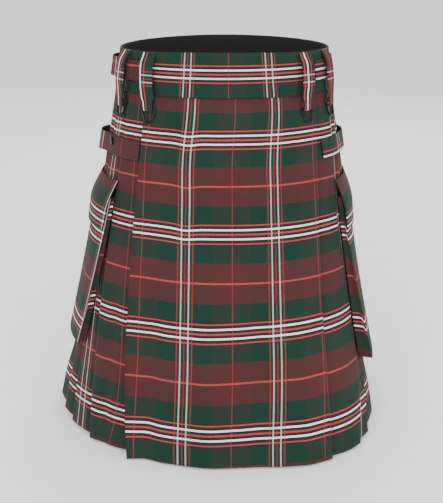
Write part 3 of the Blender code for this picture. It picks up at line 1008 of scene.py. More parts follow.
# A pleat's zigzag as shares of the way to its fold and of the fold's depth
UNDERLAP = 0.4
PLEAT_FACE = ((-UNDERLAP, 1.0), (0.12, 0.70), (0.58, 0.26), (1.0, 0.0))
PLEAT_RETURN = ((1.03, 0.18), (1.0, 0.36), (1 - UNDERLAP, 0.62))
PLEAT_TURN = (1 - UNDERLAP - 0.035, 0.82)
TURNED_UNDER = (PLEAT_FACE[-1], *PLEAT_RETURN)


@dataclass
class Pleats(Assembly):
    """The pleated panels: ten knife pleats on each side, folded towards the back."""

    # Under the pockets and straps the creases go inward only
    creases: tuple[Crease, ...] = crease_rows(
        (-72, -64, -74, -190, 4.0, -1.2),
        (-84, -482, -87, -640, 4.0, 2.8),
        (-101, -500, -104, -640, 3.5, -2.6),
        (-128, -110, -123, -420, 5.0, 2.2),
        (-141, -300, -138, -640, 4.5, -3.2),
        (-155, -90, -152, -340, 6.0, 1.8),
        (-166, -350, -169, -640, 4.0, 3.0),
        (73, -500, 70, -640, 4.0, 2.4),
        (89, -494, 92, -640, 5.0, -2.8),
        (106, -515, 102, -640, 3.5, 2.2),
        (125, -100, 130, -380, 5.5, -2.0),
        (138, -330, 134, -640, 4.0, 3.2),
        (150, -130, 155, -480, 5.0, 2.2),
        (164, -270, 161, -640, 4.5, -2.8),
    )
    count: int = 10
    in_side: int = 5
    rows: int = 100
    back_gap: float = 0.065
    under_layer: float = 0.64
    drift: dict[Side, tuple[float, ...]] = field(default_factory=lambda: {
        Side.LEFT: (0.0, 0.12, -0.03, -0.10, -0.15, -0.05, 0.06, 0.08, -0.04, 0.05, 0.0),
        Side.RIGHT: (0.0, -0.30, -0.12, 0.05, 0.10, -0.04, 0.07, -0.06, 0.05, -0.04, 0.0),
    })
    # Threads across: setts where the first pleat starts, setts in each pleat, and in the wide one
    # between the apron's fold and the first pleat at the right
    first_setts: dict[Side, float] = field(default_factory=lambda: {Side.LEFT: -0.78, Side.RIGHT: 1.89})
    pleat_setts: float = 0.36
    wide_setts: float = 0.42
    # How much lower than the apron's the stripes across lie
    lower: dict[Side, float] = field(default_factory=lambda: {Side.LEFT: -4 * MM, Side.RIGHT: 2 * MM})

    def fold_length(self, side: Side, fold: int, height: float) -> float:
        """Length on the ring of a pleat's fold; fold 0 is the front panel's.

        Args:
            side: the side of the body.
            fold: the fold's number.
            height: height of the ring that is meant.

        Returns:
            The length.
        """
        edges = self.body.edges(height)
        share = 0.0
        if fold >= 0:
            share = (fold + self.drift[side][fold]) / (self.count + self.back_gap)
        if side is Side.LEFT:
            return self.body.length_at(edges.fold_left, height) * (1 - share)
        if fold < 0:
            return self.body.length_at(edges.apron_right, height)
        first = self.body.length_at(edges.fold_right, height)
        return between(first, self.body.lengths(height)[-1], share)

    def pitch(self, side: Side, height: float) -> float:
        """Even width of one pleat at a height, counted towards the back."""
        last = self.fold_length(side, self.count, height)
        return (last - self.fold_length(side, 0, height)) / self.count

    def knot(self, side: Side, fold: int, along: float, depth: float, returning: bool,
             height: float) -> Knot:
        """Point of a pleat's zigzag with its threads.

        Args:
            side: the side of the body.
            fold: the fold that the pleat ends in.
            along: share of the way to the fold, past it where it is over 1.
            depth: share of the fold's depth.
            returning: if the cloth has passed the fold and runs back under it.
            height: height on the cloth.

        Returns:
            The point.
        """
        own = self.fold_length(side, fold, height)
        pitch = self.pitch(side, height)
        last = self.fold_length(side, fold - 1, height)
        if 0 <= along <= 1 and not returning:
            length = last + along * (own - last)
        elif along < 0:
            length = last + along * pitch
        else:
            length = own + (along - 1) * pitch
        turn = self.body.turn_at(length, height)
        inward = self.body.pleat_depth(height) * depth
        outward = self.crease(turn, height) - inward
        place = self.body.point(turn, height + self.body.side_rise(turn, height), outward)
        passed = fold + (1 - along) + 0.1 * depth if returning else fold - 1 + along
        own_setts = self.wide_setts if passed < 0 else self.pleat_setts
        setts = self.first_setts[side] + side.value * own_setts * passed
        return Knot(place, setts, self.weft(height, self.lower[side]))

    def zigzag(self, folds: range, runs_across: bool) -> Iterator[tuple[int, float, float, bool]]:
        """Fine points of a run of pleats: fold, share along, share of depth, and if it returns.

        Args:
            folds: numbers of the folds.
            runs_across: if the last cloth runs on behind the back middle.

        Returns:
            The points, in order.
        """
        for fold in folds:
            yield fold, *PLEAT_FACE[0], False
            for along, depth in fine_points(PLEAT_FACE, (5, 5, 6)):
                yield fold, along, depth, False
            ends = fold == folds[-1] and not runs_across
            turned = TURNED_UNDER if ends else (*TURNED_UNDER, PLEAT_TURN)
            for along, depth in fine_points(turned, (2, 2, 5, 2)):
                yield fold, along, depth, True

    def make(self, node: str, side: Side, folds: range, runs_across: bool = False) -> bpy.types.Object:
        """One pleated panel.

        Args:
            node: name of the solid it stands for.
            side: the side of the body.
            folds: numbers of its folds.
            runs_across: if its last cloth runs on behind the back middle.

        Returns:
            The piece.
        """
        line = list(self.zigzag(folds, runs_across))
        heights = [between(SKIRT_TOP, PLEAT_HEM, row / (self.rows - 1)) for row in range(self.rows)]
        under = 9 if runs_across else 0

        def knot(column: int, row: int) -> Knot:
            """The grid's point at a column and a row."""
            height = heights[row]
            if column < len(line):
                return self.knot(side, *line[column], height)
            share = (column - len(line)) / (under - 1)
            pitch = self.pitch(side, height)
            length = self.fold_length(side, self.count, height)
            length += (share * self.under_layer - UNDERLAP) * pitch
            turn = self.body.turn_at(length, height)
            place = self.body.point(turn, height, -self.body.pleat_depth(height))
            return Knot(place, share * self.under_layer * self.pleat_setts, self.weft(height))

        cloth = self.cloth(node, CLOTH, Hold.HUNG, ("waistband_back",))
        return cloth.build(len(line) + under, self.rows, knot)

    def build(self) -> list[bpy.types.Object]:
        """All four pleated panels.

        Returns:
            The finished pieces.
        """
        side = range(1, self.in_side + 1)
        back = range(self.in_side + 1, self.count + 1)
        return [
            self.make("pleats_left", Side.LEFT, side),
            self.make("pleats_back_left", Side.LEFT, back, True),
            self.make("pleats_right", Side.RIGHT, range(0, self.in_side + 1)),
            self.make("pleats_back_right", Side.RIGHT, back),
        ]


@dataclass
class Aprons(Assembly):
    """The outer apron, free at its left edge, and the under apron that shows beside it."""

    rows: int = 110
    columns: int = 84
    curl: float = 0.13
    under_end: float = 26.0
    # How far a ridge pulls the stripes down, and the folded edge draws them up low down
    sag: float = 2.4 * MM
    drawn_up: float = 4.0 * MM
    # The under apron's stripes lie higher, and its own sett across is longer
    under_lower: float = -5.0 * MM
    under_sett: float = 148.0 * MM
    under_fold_setts: float = -0.9
    turned_setts: float = 0.3
    pleats: Pleats | None = None
    creases: tuple[Crease, ...] = crease_rows(
        (-21, -66, -17, -330, 5.0, 3.0),
        (-33, -90, -31, -300, 5.0, -1.2),
        (8, -64, 6, -240, 7.0, -1.0),
        (31, -64, 26, -210, 5.5, 1.8),
        (-29, -300, -27, -640, 3.2, -3.0),
        (-8, -330, -5, -640, 6.0, 2.6),
        (14, -260, 11, -640, 5.0, -2.2),
        (28, -350, 27, -640, 4.0, 2.4),
    )

    # The under apron's, inward only because the outer one lies on it
    under_creases: tuple[Crease, ...] = crease_rows(
        (-56, -70, -54, -250, 2.6, -1.1),
        (-53, -230, -45, -640, 2.4, -2.4),
        (-22, -260, -20, -640, 5.0, -2.0),
        (4, -180, 7, -640, 6.0, -2.4),
    )

    def outer(self) -> bpy.types.Object:
        """The outer apron.

        Returns:
            The finished piece.
        """
        shares = [column / (self.columns - 1) for column in range(self.columns)]
        under = list(fine_points(TURNED_UNDER, (2, 2, 6)))
        heights = [between(SKIRT_TOP, APRON_HEM, row / (self.rows - 1)) for row in range(self.rows)]

        def knot(column: int, row: int) -> Knot:
            """The grid's point at a column and a row."""
            height = heights[row]
            edges = self.body.edges(height)
            layers = self.body.layers(height)
            right = self.body.length_at(edges.apron_right, height)
            if column < len(shares):
                share = shares[column]
                left = self.body.length_at(edges.apron_left, height)
                lifted = (1 - share / self.curl) ** 2 if share < self.curl else 0.0
                turn = self.body.turn_at(between(left, right, share), height)
                outward = layers.apron + layers.lift * lifted + self.crease(turn, height)
                sag = self.sag * self.creases[0].push(turn, height) / self.creases[0].depth
                # Low down, the cloth is drawn up a little towards the folded edge
                low = ease((-300 * MM - height) / (90 * MM))
                sag -= self.drawn_up * ease((share - 0.35) / 0.5) * low
                setts = smooth_row(WARP_ACROSS, share).value + smooth_row(WARP_DRIFT, height).value
                return Knot(self.body.point(turn, height, outward), setts, self.weft(height, sag))
            along, depth = under[column - len(shares)]
            pitch = self.pleats.pitch(Side.RIGHT, height)
            turn = self.body.turn_at(right + (along - 1) * pitch, height)
            outward = layers.apron * (1 - depth) - self.body.pleat_depth(height) * depth
            setts = smooth_row(WARP_ACROSS, 1.0).value + (1 - along) * self.turned_setts
            return Knot(self.body.point(turn, height, outward), setts, self.weft(height))

        cloth = self.cloth("front_apron", CLOTH, Hold.HUNG, ("waistband_apron",))
        return cloth.build(len(shares) + len(under), self.rows, knot)

    def under(self) -> bpy.types.Object:
        """The under apron.

        Returns:
            The finished piece.
        """
        hidden = [column / 30 for column in range(31)]
        shown = [column / 12 for column in range(1, 13)]
        under = list(fine_points(TURNED_UNDER, (2, 2, 6)))
        heights = [between(SKIRT_TOP, UNDER_HEM, row / (self.rows - 1)) for row in range(self.rows)]

        def knot(column: int, row: int) -> Knot:
            """The grid's point at a column and a row."""
            height = heights[row]
            edges = self.body.edges(height)
            layers = self.body.layers(height)
            fold = self.body.length_at(edges.fold_left, height)
            down = self.weft(height, self.under_lower)
            if column < len(hidden):
                turn = between(self.under_end, edges.apron_left, hidden[column])
                outward = -layers.under
            elif column < len(hidden) + len(shown):
                share = shown[column - len(hidden)]
                turn = between(edges.apron_left, edges.fold_left, share)
                outward = -layers.under * (1 - share)
            else:
                along, depth = under[column - len(hidden) - len(shown)]
                pitch = self.pleats.pitch(Side.LEFT, height)
                turn = self.body.turn_at(fold + (along - 1) * pitch, height)
                setts = self.under_fold_setts - (1 - along) * self.turned_setts
                place = self.body.point(turn, height, -self.body.pleat_depth(height) * depth)
                return Knot(place, setts, down)
            outward += sum(crease.push(turn, height) for crease in self.under_creases)
            line = smooth_row(PANEL_LINE, height).value
            setts = (self.body.length_at(turn, height) - fold - line) / self.under_sett - 0.5
            return Knot(self.body.point(turn, height, outward), setts, down)

        cloth = self.cloth("under_apron", CLOTH, Hold.HUNG, ("waistband_under",))
        return cloth.build(len(hidden) + len(shown) + len(under), self.rows, knot)

    def build(self) -> list[bpy.types.Object]:
        """Both aprons."""
        return [self.outer(), self.under()]


class BandPiece(NamedTuple):
    """A stretch of the waistband: the solid, turns of its ends, stand-off and columns."""

    node: str
    start: float
    end: float
    outward: float
    columns: int


@dataclass
class Waistband(Assembly):
    """The stiffened waistband in three stretches, lined inside with near-black cloth that stands for
    painted shade.
    """

    rows: int = 14
    # The band is cut along its own stripes: the five-line group runs round its middle
    sett: float = 119.0 * MM
    sett_down: float = 122.0 * MM
    group_height: float = -26.0 * MM
    group_length: float = -54.1 * MM
    pieces: tuple[BandPiece, ...] = (
        BandPiece("waistband_apron", -49.5, 57.2, BAND / 2 + 0.2 * MM, 80),
        BandPiece("waistband_under", -63.35, 26.0, -BAND / 2 - 0.1 * MM, 64),
        BandPiece("waistband_back", 57.3, 296.7, 0.0, 170),
    )

    def make(self, band: BandPiece) -> bpy.types.Object:
        """One stretch of the band.

        Args:
            band: the stretch.

        Returns:
            The finished piece.
        """

        def knot(column: int, row: int) -> Knot:
            """The grid's point at a column and a row."""
            turn = between(band.start, band.end, column / (band.columns - 1))
            height = between(self.body.rim_height(turn), SEAM, row / (self.rows - 1))
            wrapped = turn if turn <= 180 else turn - 360
            along = self.body.length_at(wrapped, SEAM) - self.body.length_at(0.0, SEAM)
            across = (along - self.group_length) / self.sett
            down = (self.group_height - height) / self.sett_down
            return Knot(self.body.point(turn, height, band.outward), across, down)

        resting = () if band.node == "waistband_back" else ("waistband_back",)
        seams = (((0.004, 0.055), (0.996, 0.055)), ((0.004, 0.95), (0.996, 0.95)))
        cloth = self.cloth(band.node, BAND, Hold.STRETCHED, resting,
                           lined=True, bevel=0.7 * MM, seams=seams)
        return cloth.build(band.columns, self.rows, knot)

    def build(self) -> list[bpy.types.Object]:
        """The whole band."""
        return [self.make(band) for band in self.pieces]


BAND_FACE_FRONT = BAND + 0.2 * MM
BAND_FACE_BACK = BAND / 2
SKIRT_FACE_FRONT = 1.2 * MM + CLOTH / 2
SKIRT_FACE_BACK = CLOTH / 2
RING_HEIGHT = -77.3 * MM
WIRE_RADIUS = 1.5 * MM


class Loop(NamedTuple):
    """A belt loop: name, turns of head and foot, faces of band and skirt, stand-off, ring, threads."""

    name: str
    head: float
    foot: float
    band_face: float
    skirt_face: float
    stand: float
    has_ring: bool
    setts: float


@dataclass
class BeltLoops(Assembly):
    """Belt loops over the waistband, and the metal rings that hang in the front ones."""

    width: float = 21.6 * MM
    neck: float = 15.6 * MM
    # The strip is cut across the cloth, so the strong lines of the weft run down it
    sett: float = 122.0 * MM
    group_run: float = 37.0 * MM
    width_setts: float = 0.17
    loops: tuple[Loop, ...] = (
        Loop("inner_left", -47.5, -44.1, BAND_FACE_FRONT, SKIRT_FACE_FRONT, 9.5 * MM, True, 0.036),
        Loop("inner_right", 50.9, 48.3, BAND_FACE_FRONT, SKIRT_FACE_FRONT, 9.5 * MM, True, -0.02),
        Loop("outer_left", -68.0, -65.6, BAND_FACE_BACK, SKIRT_FACE_BACK, 9.0 * MM, True, -0.012),
        Loop("outer_right", 70.8, 68.4, BAND_FACE_BACK, SKIRT_FACE_BACK, 8.0 * MM, True, 0.43),
        Loop("back_left", -132.0, -132.0, BAND_FACE_BACK, SKIRT_FACE_BACK, 8.5 * MM, False, -0.07),
        Loop("back_middle", 180.0, 180.0, BAND_FACE_BACK, SKIRT_FACE_BACK, 8.5 * MM, False, -0.07),
        Loop("back_right", 132.0, 132.0, BAND_FACE_BACK, SKIRT_FACE_BACK, 8.5 * MM, False, -0.07),
    )

    def path(self, loop: Loop) -> list[tuple[float, float]]:
        """Stand-off and height along a loop, down from the rim and round the bar if it has one.

        Args:
            loop: the loop.

        Returns:
            The points, from the rim down.
        """
        seat = loop.band_face + GAP + TAPE / 2
        crest = seat + loop.stand
        line = [(seat, self.body.rim_height(loop.head) - 1 * MM)]
        for height, share in ((-5, 0.27), (-14, 0.82), (-28, 1.0), (-45, 1.0)):
            line.append((between(seat, crest, share), height * MM))
        if not loop.has_ring:
            foot = loop.skirt_face + GAP + TAPE / 2
            ends = ((-59, 0.47), (-64, 0.89), (-69, 1.0))
            return line + [(between(crest, foot, share), height * MM) for height, share in ends]
        axis = loop.skirt_face + GAP + TAPE + GAP + WIRE_RADIUS
        radius = WIRE_RADIUS + GAP + TAPE / 2
        for height, share in ((-57, 0.45), (-69, 0.80)):
            line.append((between(crest, axis + radius, share), height * MM))
        for degrees in (0, 45, 90, 135, 180):
            angle = math.radians(degrees)
            line.append((axis + radius * math.cos(angle), RING_HEIGHT - radius * math.sin(angle)))
        line.append((axis - radius, RING_HEIGHT + 8 * MM))
        return line

    def make(self, loop: Loop) -> bpy.types.Object:
        """One belt loop.

        Args:
            loop: the loop.

        Returns:
            The finished piece.
        """
        path = curve_through(self.path(loop), 5)
        columns = 11
        side = self.body.tangent(loop.foot, RING_HEIGHT)
        runs = running_lengths([Vector(point) for point in path])

        def knot(column: int, row: int) -> Knot:
            """The grid's point at a column and a row."""
            standoff, height = path[row]
            across = column / (columns - 1) - 0.5
            gather = ease((-60 * MM - height) / (9 * MM)) if loop.has_ring else 0.0
            width = between(self.width, self.neck, gather)
            turn = between(loop.head, loop.foot, height / RING_HEIGHT)
            roll = -0.5 * MM * (2 * across) ** 2 * ease(-height / (20 * MM)) * (1 - gather)
            place = self.body.point(turn, height, standoff + roll) + side * (across * width)
            along = (runs[row] - self.group_run) / self.sett
            return Knot(place, along, loop.setts + (across + 0.5) * self.width_setts)

        resting = ("waistband_apron", "front_apron") if "inner" in loop.name else ("waistband_back",)
        last = 0.8 if loop.has_ring else 0.98
        seams = (((0.13, 0.02), (0.13, last)), ((0.87, 0.02), (0.87, last)))
        cloth = self.cloth(f"belt_loop_{loop.name}", TAPE, Hold.FOLDED, resting, seams=seams)
        return cloth.build(columns, len(path), knot)

    def dress_ring(self, loop: Loop) -> None:
        """Give the metal ring its finish.

        Args:
            loop: the loop.
        """
        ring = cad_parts[f"d_ring_{loop.name}"]
        for place in ring.material_slots:
            place.material = self.finishes.gunmetal

    def build(self) -> list[bpy.types.Object]:
        """All belt loops; their rings keep the solids' shapes.

        Returns:
            The finished pieces.
        """
        pieces = [self.make(loop) for loop in self.loops]
        for loop in self.loops:
            if loop.has_ring:
                self.dress_ring(loop)
        return pieces


class Strap(NamedTuple):
    """A strap: its solid, middle height, threads across and down, and its (turn, stand-off in mm)."""

    node: str
    middle: float
    across: float
    down: float
    points: tuple[tuple[float, float], ...]


@dataclass
class Straps(Assembly):
    """Straps at the waist and hip."""

    width: float = 28.6 * MM
    straps: tuple[Strap, ...] = (
        Strap("strap_waist_left", -27 * MM, -0.20, 0.45, (
            (-49.9, 1.2), (-54, 1.2), (-58.2, 1.3), (-62.4, 3.15), (-66, 3.15), (-71, 3.15),
            (-77, 3.4), (-80, 6.5), (-82.5, 9.0), (-86, 10.0), (-90, 10.0), (-93, 9.0), (-95, 6.5),
            (-99, 3.4), (-104, 3.15), (-110, 3.15), (-116, 3.15))),
        Strap("strap_waist_right", -27 * MM, 0.15, -0.138, (
            (58.8, 3.15), (64.5, 3.15), (70.7, 3.15), (77, 3.15), (83, 3.15), (88.5, 4.0),
            (93, 5.2), (97, 4.0), (103, 3.15), (110, 3.15), (116, 3.15))),
        Strap("strap_hip_left", -141 * MM, -0.20, 0.285, (
            (-48.1, 0.6), (-51.2, 0.8), (-56.3, 1.4), (-61.5, 2.1), (-67.8, 2.3), (-74.2, 3.0),
            (-78.5, 4.6), (-81.5, 9.5), (-84, 12.0), (-88, 13.0), (-92, 12.0), (-94, 9.5),
            (-97, 4.0), (-102, 2.3), (-109, 2.3), (-117, 2.3))),
        Strap("strap_hip_right", -141 * MM, 0.62, -0.229, (
            (56.8, 0.6), (60.4, 1.1), (64.1, 2.1), (68.8, 2.4), (75.1, 3.0), (80.3, 4.6),
            (84.5, 6.8), (89, 7.6), (93, 6.8), (97, 4.2), (103, 2.3), (110, 2.3), (117, 2.3))),
    )

    def make(self, strap: Strap) -> bpy.types.Object:
        """One strap.

        Args:
            strap: the strap.

        Returns:
            The finished piece.
        """
        line = curve_through(strap.points, 5)
        rows = 9
        runs = running_lengths([self.body.point(turn, strap.middle, standoff * MM)
                                for turn, standoff in line])
        if strap.points[0][0] < 0:
            line.reverse()
            runs = [runs[-1] - run for run in reversed(runs)]
            sign = -1
        else:
            sign = 1

        def knot(column: int, row: int) -> Knot:
            """The grid's point at a column and a row."""
            turn, standoff = line[column]
            share = row / (rows - 1)
            height = strap.middle + self.width * (0.5 - share)
            place = self.body.point(turn, height, standoff * MM)
            setts = strap.across + sign * runs[column] / SETT
            return Knot(place, setts, strap.down + share * self.width / SETT)

        pleats = "pleats_left" if sign < 0 else "pleats_right"
        resting = ("waistband_back",) if "waist" in strap.node else (pleats,)
        seams = (((0.02, 0.11), (0.98, 0.11), (0.98, 0.89), (0.02, 0.89), (0.02, 0.11)),)
        cloth = self.cloth(strap.node, TAPE, Hold.STRETCHED, resting, seams=seams)
        return cloth.build(len(line), rows, knot)

    def build(self) -> list[bpy.types.Object]:
        """All straps."""
        return [self.make(strap) for strap in self.straps]


@dataclass
class Snap(Assembly):
    """The press snap on the left hip strap: a round cap with a raised rim and a low dome in it."""

    radius: float = 6.0 * MM
    thickness: float = 2.4 * MM
    rim: float = 1.2 * MM
    groove: float = 0.5 * MM
    groove_depth: float = 0.55 * MM
    dome: float = 0.3 * MM
    edge: float = 0.35 * MM
    turn: float = -70.3
    height: float = -135.5 * MM
    seat: float = 3.6 * MM

    def shape(self) -> None:
        """Press the groove and the dome into the top of the round blank that is being edited."""
        blank = bpy.context.object.data
        bpy.ops.object.mode_set(mode="EDIT")
        bpy.ops.mesh.select_mode(type="FACE")
        bpy.ops.mesh.select_all(action="DESELECT")
        bpy.ops.object.mode_set(mode="OBJECT")
        for face in blank.polygons:
            face.select = face.normal.z > 0.9
        bpy.ops.object.mode_set(mode="EDIT")
        bpy.ops.mesh.inset(thickness=self.rim, depth=0.0)
        bpy.ops.mesh.inset(thickness=self.groove, depth=-self.groove_depth)
        bpy.ops.mesh.inset(thickness=self.groove, depth=self.dome)
        bpy.ops.mesh.inset(thickness=self.radius * 0.35, depth=self.dome)
        bpy.ops.object.mode_set(mode="OBJECT")

    def build(self) -> list[bpy.types.Object]:
        """The snap's cap.

        Returns:
            The finished pieces.
        """
        outward = self.body.outward(self.turn, self.height)
        standoff = self.seat + 2 * GAP + self.thickness / 2
        bpy.ops.object.select_all(action="DESELECT")
        bpy.ops.mesh.primitive_cylinder_add(
            vertices=48, radius=self.radius, depth=self.thickness,
            location=self.body.point(self.turn, self.height, standoff),
            rotation=outward.to_track_quat("Z", "Y").to_euler())
        cap = bpy.context.object
        cap.name = "snap_hip_left_cap"
        cap.data.name = cap.name
        self.shape()
        edge = cap.modifiers.new("Pressed edge", "BEVEL")
        edge.width = self.edge
        edge.segments = 3
        edge.limit_method = "ANGLE"
        edge.angle_limit = math.radians(25)
        bpy.ops.object.modifier_apply(modifier=edge.name)
        bpy.ops.object.shade_smooth_by_angle(angle=math.radians(50))
        bpy.ops.object.transform_apply(location=True, rotation=True, scale=True)
        cap.data.materials.append(self.finishes.gunmetal)
        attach(cap, BODY_NAME)
        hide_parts("snap_hip_left")
        return [cap]


FLAP_TOP = -191 * MM
FLAP_FOOT = -267 * MM
POCKET_TOP = -218 * MM


@dataclass(frozen=True)
class Pocket:
    """Where a pocket sits, and how its cloth was cut.

    Turns of its front and back edges, its foot, the bellows' depths and the face's sag come first.
    Then come the setts at its front edge, and how much lower than the apron's the stripes lie on
    its face, its flap and its bellows.
    """

    node: str
    flap_node: str
    side: Side
    front_top: float
    front_foot: float
    back_top: float
    back_foot: float
    foot: float
    depth_top: float
    depth_foot: float
    sag: float
    across: float
    lower: float
    flap_lower: float
    bellows_lower: float

    @property
    def pleats(self) -> str:
        """The pleated panel that the pocket is sewn to."""
        return f"pleats_{self.side.name.lower()}"


@dataclass
class Pockets(Assembly):
    """Cargo pockets with bellows, open to the skirt behind, and their flaps."""

    creases: tuple[Crease, ...] = crease_rows(
        (-79, -285, -75, -440, 4.0, -1.8),
        (-94, -300, -98, -455, 5.0, 1.4),
        (-88, -198, -90, -272, 7.0, 1.2),
        (80, -300, 85, -470, 5.0, -2.0),
        (95, -285, 92, -450, 4.0, 1.4),
        (90, -198, 87, -272, 6.0, 1.2),
    )
    base: float = CLOTH / 2 + 3 * GAP
    tuck: float = 0.016
    overhang: float = 0.012
    shoulder: float = 0.66
    clearance: float = 4.0 * MM
    columns: int = 44
    rows: int = 40
    # The face is 1.15 setts wide; the bellows are a strip of their own, cut from the burgundy
    face_setts: float = 1.15
    bellows_setts: float = 0.34
    pockets: tuple[Pocket, ...] = (
        Pocket("pocket_left", "pocket_flap_left", Side.LEFT, 60.1, 65.4, 111.0, 107.5, -461 * MM,
               8.5 * MM, 15 * MM, 0.05, 0.034, 28 * MM, -5 * MM, -13 * MM),
        Pocket("pocket_right", "pocket_flap_right", Side.RIGHT, 63.2, 59.7, 113.0, 103.0, -478 * MM,
               7 * MM, 23 * MM, 0.35, 0.13, 26 * MM, 4 * MM, 20 * MM),
    )

    def turn(self, pocket: Pocket, across: float, height: float) -> float:
        """Turn of a line down the pocket at a height.

        Args:
            pocket: the pocket.
            across: share of the way across.
            height: height of the ring that is meant.

        Returns:
            The turn, in degrees.
        """
        share = (height - FLAP_TOP) / (pocket.foot - FLAP_TOP)
        front = between(pocket.front_top, pocket.front_foot, share)
        back = between(pocket.back_top, pocket.back_foot, share)
        return pocket.side.value * between(front, back, across)

    @staticmethod
    def face_depth(pocket: Pocket, across: float) -> float:
        """Share of the bellows' depth at a share of the pocket's width: the middle sags in."""
        return 1.0 - pocket.sag * (1 - abs(2 * across - 1) ** 1.7)

    def lines(self, pocket: Pocket) -> list[tuple[float, float, float]]:
        """Lines down the pouch: share of its width, share of its depth, share of the tuck.

        Args:
            pocket: the pocket.

        Returns:
            The lines, from the front edge to the back.
        """
        bellows = [(depth / 6, math.sin(math.pi * depth / 6)) for depth in range(6)]
        run = [(0.0, depth, tuck) for depth, tuck in bellows]
        for column in range(self.columns):
            share = column / (self.columns - 1)
            share = between(share, ease(share), 0.35)
            run.append((share, self.face_depth(pocket, share), 0.0))
        return run + [(1.0, depth, tuck) for depth, tuck in reversed(bellows)]

    def pouch(self, pocket: Pocket) -> bpy.types.Object:
        """The pouch: an outer panel with bellows at its sides and bottom.

        Args:
            pocket: the pocket.

        Returns:
            The finished piece.
        """
        lines = self.lines(pocket)
        heights = [between(POCKET_TOP, pocket.foot, row / (self.rows - 1)) for row in range(self.rows)]
        rests = [1.0, 0.8, 0.6, 0.4, 0.2, 0.0]
        if pocket.side is Side.LEFT:
            lines.reverse()

        def knot(column: int, row: int) -> Knot:
            """The grid's point at a column and a row."""
            across, depth, tuck = lines[column]
            height = heights[min(row, len(heights) - 1)]
            rest = rests[max(row - len(heights) + 1, 0)]
            down = (POCKET_TOP - height) / (POCKET_TOP - pocket.foot)
            full = between(pocket.depth_top, pocket.depth_foot, down)
            outward = between(self.base, full, min(depth, rest))
            moved = across + math.copysign(self.tuck * tuck * (1 - down**2), 0.5 - across)
            turn = self.turn(pocket, moved, height)
            outward += self.crease(turn, height) * min(depth, rest) * math.sin(math.pi * across)
            bellows = across in (0.0, 1.0) and depth < 1.0
            setts = pocket.across + across * self.face_setts
            if bellows:
                setts = self.bellows_setts + 0.1 * depth
            lower = pocket.bellows_lower if bellows else pocket.lower
            weft = self.weft(height, lower) + (1 - rest) * full / SETT
            return Knot(self.body.point(turn, height, outward), setts, weft)

        edge = 6.6 / (len(lines) - 1)
        foot = (len(heights) - 2) / (len(heights) + len(rests) - 2)
        seams = (((edge, 0.09), (edge, foot), (1 - edge, foot), (1 - edge, 0.09), (edge, 0.09)),)
        cloth = self.cloth(pocket.node, CLOTH, Hold.HUNG, (pocket.pleats,), joined=True, seams=seams)
        return cloth.build(len(lines), len(heights) + len(rests) - 1, knot)

    def flap(self, pocket: Pocket) -> bpy.types.Object:
        """The flap: sewn on above the pouch and hanging clear over its mouth.

        Args:
            pocket: the pocket.

        Returns:
            The finished piece.
        """
        shares = [column / (self.columns - 1) for column in range(self.columns)]
        rows = 22
        if pocket.side is Side.LEFT:
            shares.reverse()

        def knot(column: int, row: int) -> Knot:
            """The grid's point at a column and a row."""
            line = shares[column]
            share = row / (rows - 1)
            height = between(FLAP_TOP, FLAP_FOOT, share)
            across = between(line, 0.5, -2 * self.overhang)
            rise = math.sin(math.radians(90) * min(share / self.shoulder, 1.0))
            stand = pocket.depth_top * self.face_depth(pocket, line) + self.clearance
            outward = self.base + CLOTH / 2 + stand * rise
            turn = self.turn(pocket, across, height)
            outward += max(self.crease(turn, height), 0.0) * rise
            weft = self.weft(height, pocket.flap_lower)
            setts = pocket.across + line * self.face_setts
            return Knot(self.body.point(turn, height, outward), setts, weft)

        seams = (((0.025, 0.02), (0.025, 0.94), (0.975, 0.94), (0.975, 0.02)),
                 ((0.01, 0.05), (0.99, 0.05)))
        cloth = self.cloth(pocket.flap_node, CLOTH, Hold.HUNG, (pocket.pleats,), seams=seams)
        return cloth.build(len(shares), rows, knot)

    def build(self) -> list[bpy.types.Object]:
        """Both pouches and both flaps."""
        return [piece for pocket in self.pockets for piece in (self.pouch(pocket), self.flap(pocket))]


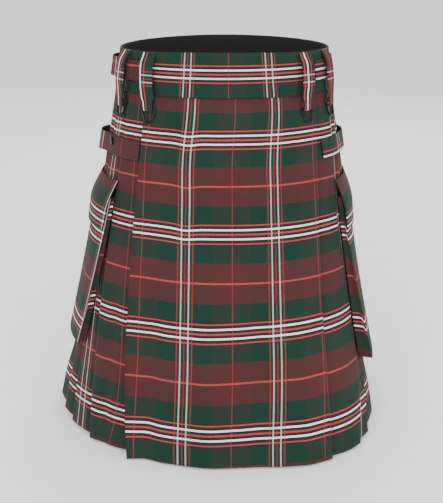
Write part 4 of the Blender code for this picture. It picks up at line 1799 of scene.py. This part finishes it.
@dataclass
class Studio:
    """The photographer's setup: camera, pale floor and soft light."""

    camera_place: tuple[float, float, float] = (0.0, -1.480, 0.1626)
    pitch: float = 74.21
    lens: float = 78.6
    shift_x: float = -0.0068
    shift_y: float = -0.100
    floor_height: float = -0.609

    def camera(self) -> None:
        """A portrait lens above the rim, tilted down."""
        data = bpy.data.cameras.new("Camera")
        data.sensor_fit = "HORIZONTAL"
        data.sensor_width = 36.0
        data.lens = self.lens
        data.shift_x = self.shift_x
        data.shift_y = self.shift_y
        camera = place_object("Camera", data)
        camera.location = self.camera_place
        camera.rotation_euler = (math.radians(self.pitch), 0.0, 0.0)
        bpy.context.scene.camera = camera

    def floor(self) -> None:
        """A plain pale floor under the hem."""
        mesh = bpy.data.meshes.new("Floor")
        reach = 12.0
        corners = [(-reach, -reach, self.floor_height), (reach, -reach, self.floor_height),
                   (reach, reach, self.floor_height), (-reach, reach, self.floor_height)]
        mesh.from_pydata(corners, [], [(0, 1, 2, 3)])
        material, tree, shader = new_material("Pale paper floor")
        feed(tree, shader, {"Base Color": to_linear("#F2F2F1"), "Roughness": 0.9})
        mesh.materials.append(material)
        place_object("Floor", mesh)

    def light(self, name: str, place: tuple[float, float, float], size: float, power: float) -> None:
        """One soft lamp that faces the kilt.

        Args:
            name: the lamp's name.
            place: where it stands.
            size: side of its square, in metres.
            power: its power, in watts.
        """
        data = bpy.data.lights.new(name, "AREA")
        data.size = size
        data.energy = power
        lamp = place_object(name, data)
        lamp.location = place
        lamp.rotation_euler = (Vector((0, 0, -0.3)) - Vector(place)).to_track_quat("-Z", "Y").to_euler()

    def build(self) -> None:
        """The whole setup."""
        world = bpy.data.worlds.new("Studio")
        world.use_nodes = True
        backdrop = world.node_tree.nodes["Background"]
        feed(world.node_tree, backdrop, {"Color": (1.0, 1.0, 1.0, 1.0), "Strength": 1.35})
        bpy.context.scene.world = world
        self.floor()
        self.light("Key", (-0.7, -2.6, 1.3), 1.6, 70.0)
        self.light("Fill", (1.2, -2.3, 0.5), 1.8, 34.0)
        self.light("Back", (0.4, 2.2, 1.4), 1.8, 30.0)
        self.camera()


def main() -> None:
    """Build the kilt's looks, piece by piece, and report them."""
    logging.basicConfig(level=logging.INFO)
    bpy.ops.object.select_all(action="DESELECT")
    body = Body()
    finishes = Finishes(Thread().make(), Tartan().make(), PaintedShadeLining().make(), Gunmetal().make())
    pleats = Pleats(body, finishes)
    assemblies = (
        Aprons(body, finishes, pleats=pleats),
        pleats,
        Waistband(body, finishes),
        BeltLoops(body, finishes),
        Straps(body, finishes),
        Snap(body, finishes),
        Pockets(body, finishes),
    )
    for assembly in assemblies:
        for piece in assembly.build():
            LOG.info("made %s", piece.name)
    Studio().build()


if __name__ == "__main__":
    main()
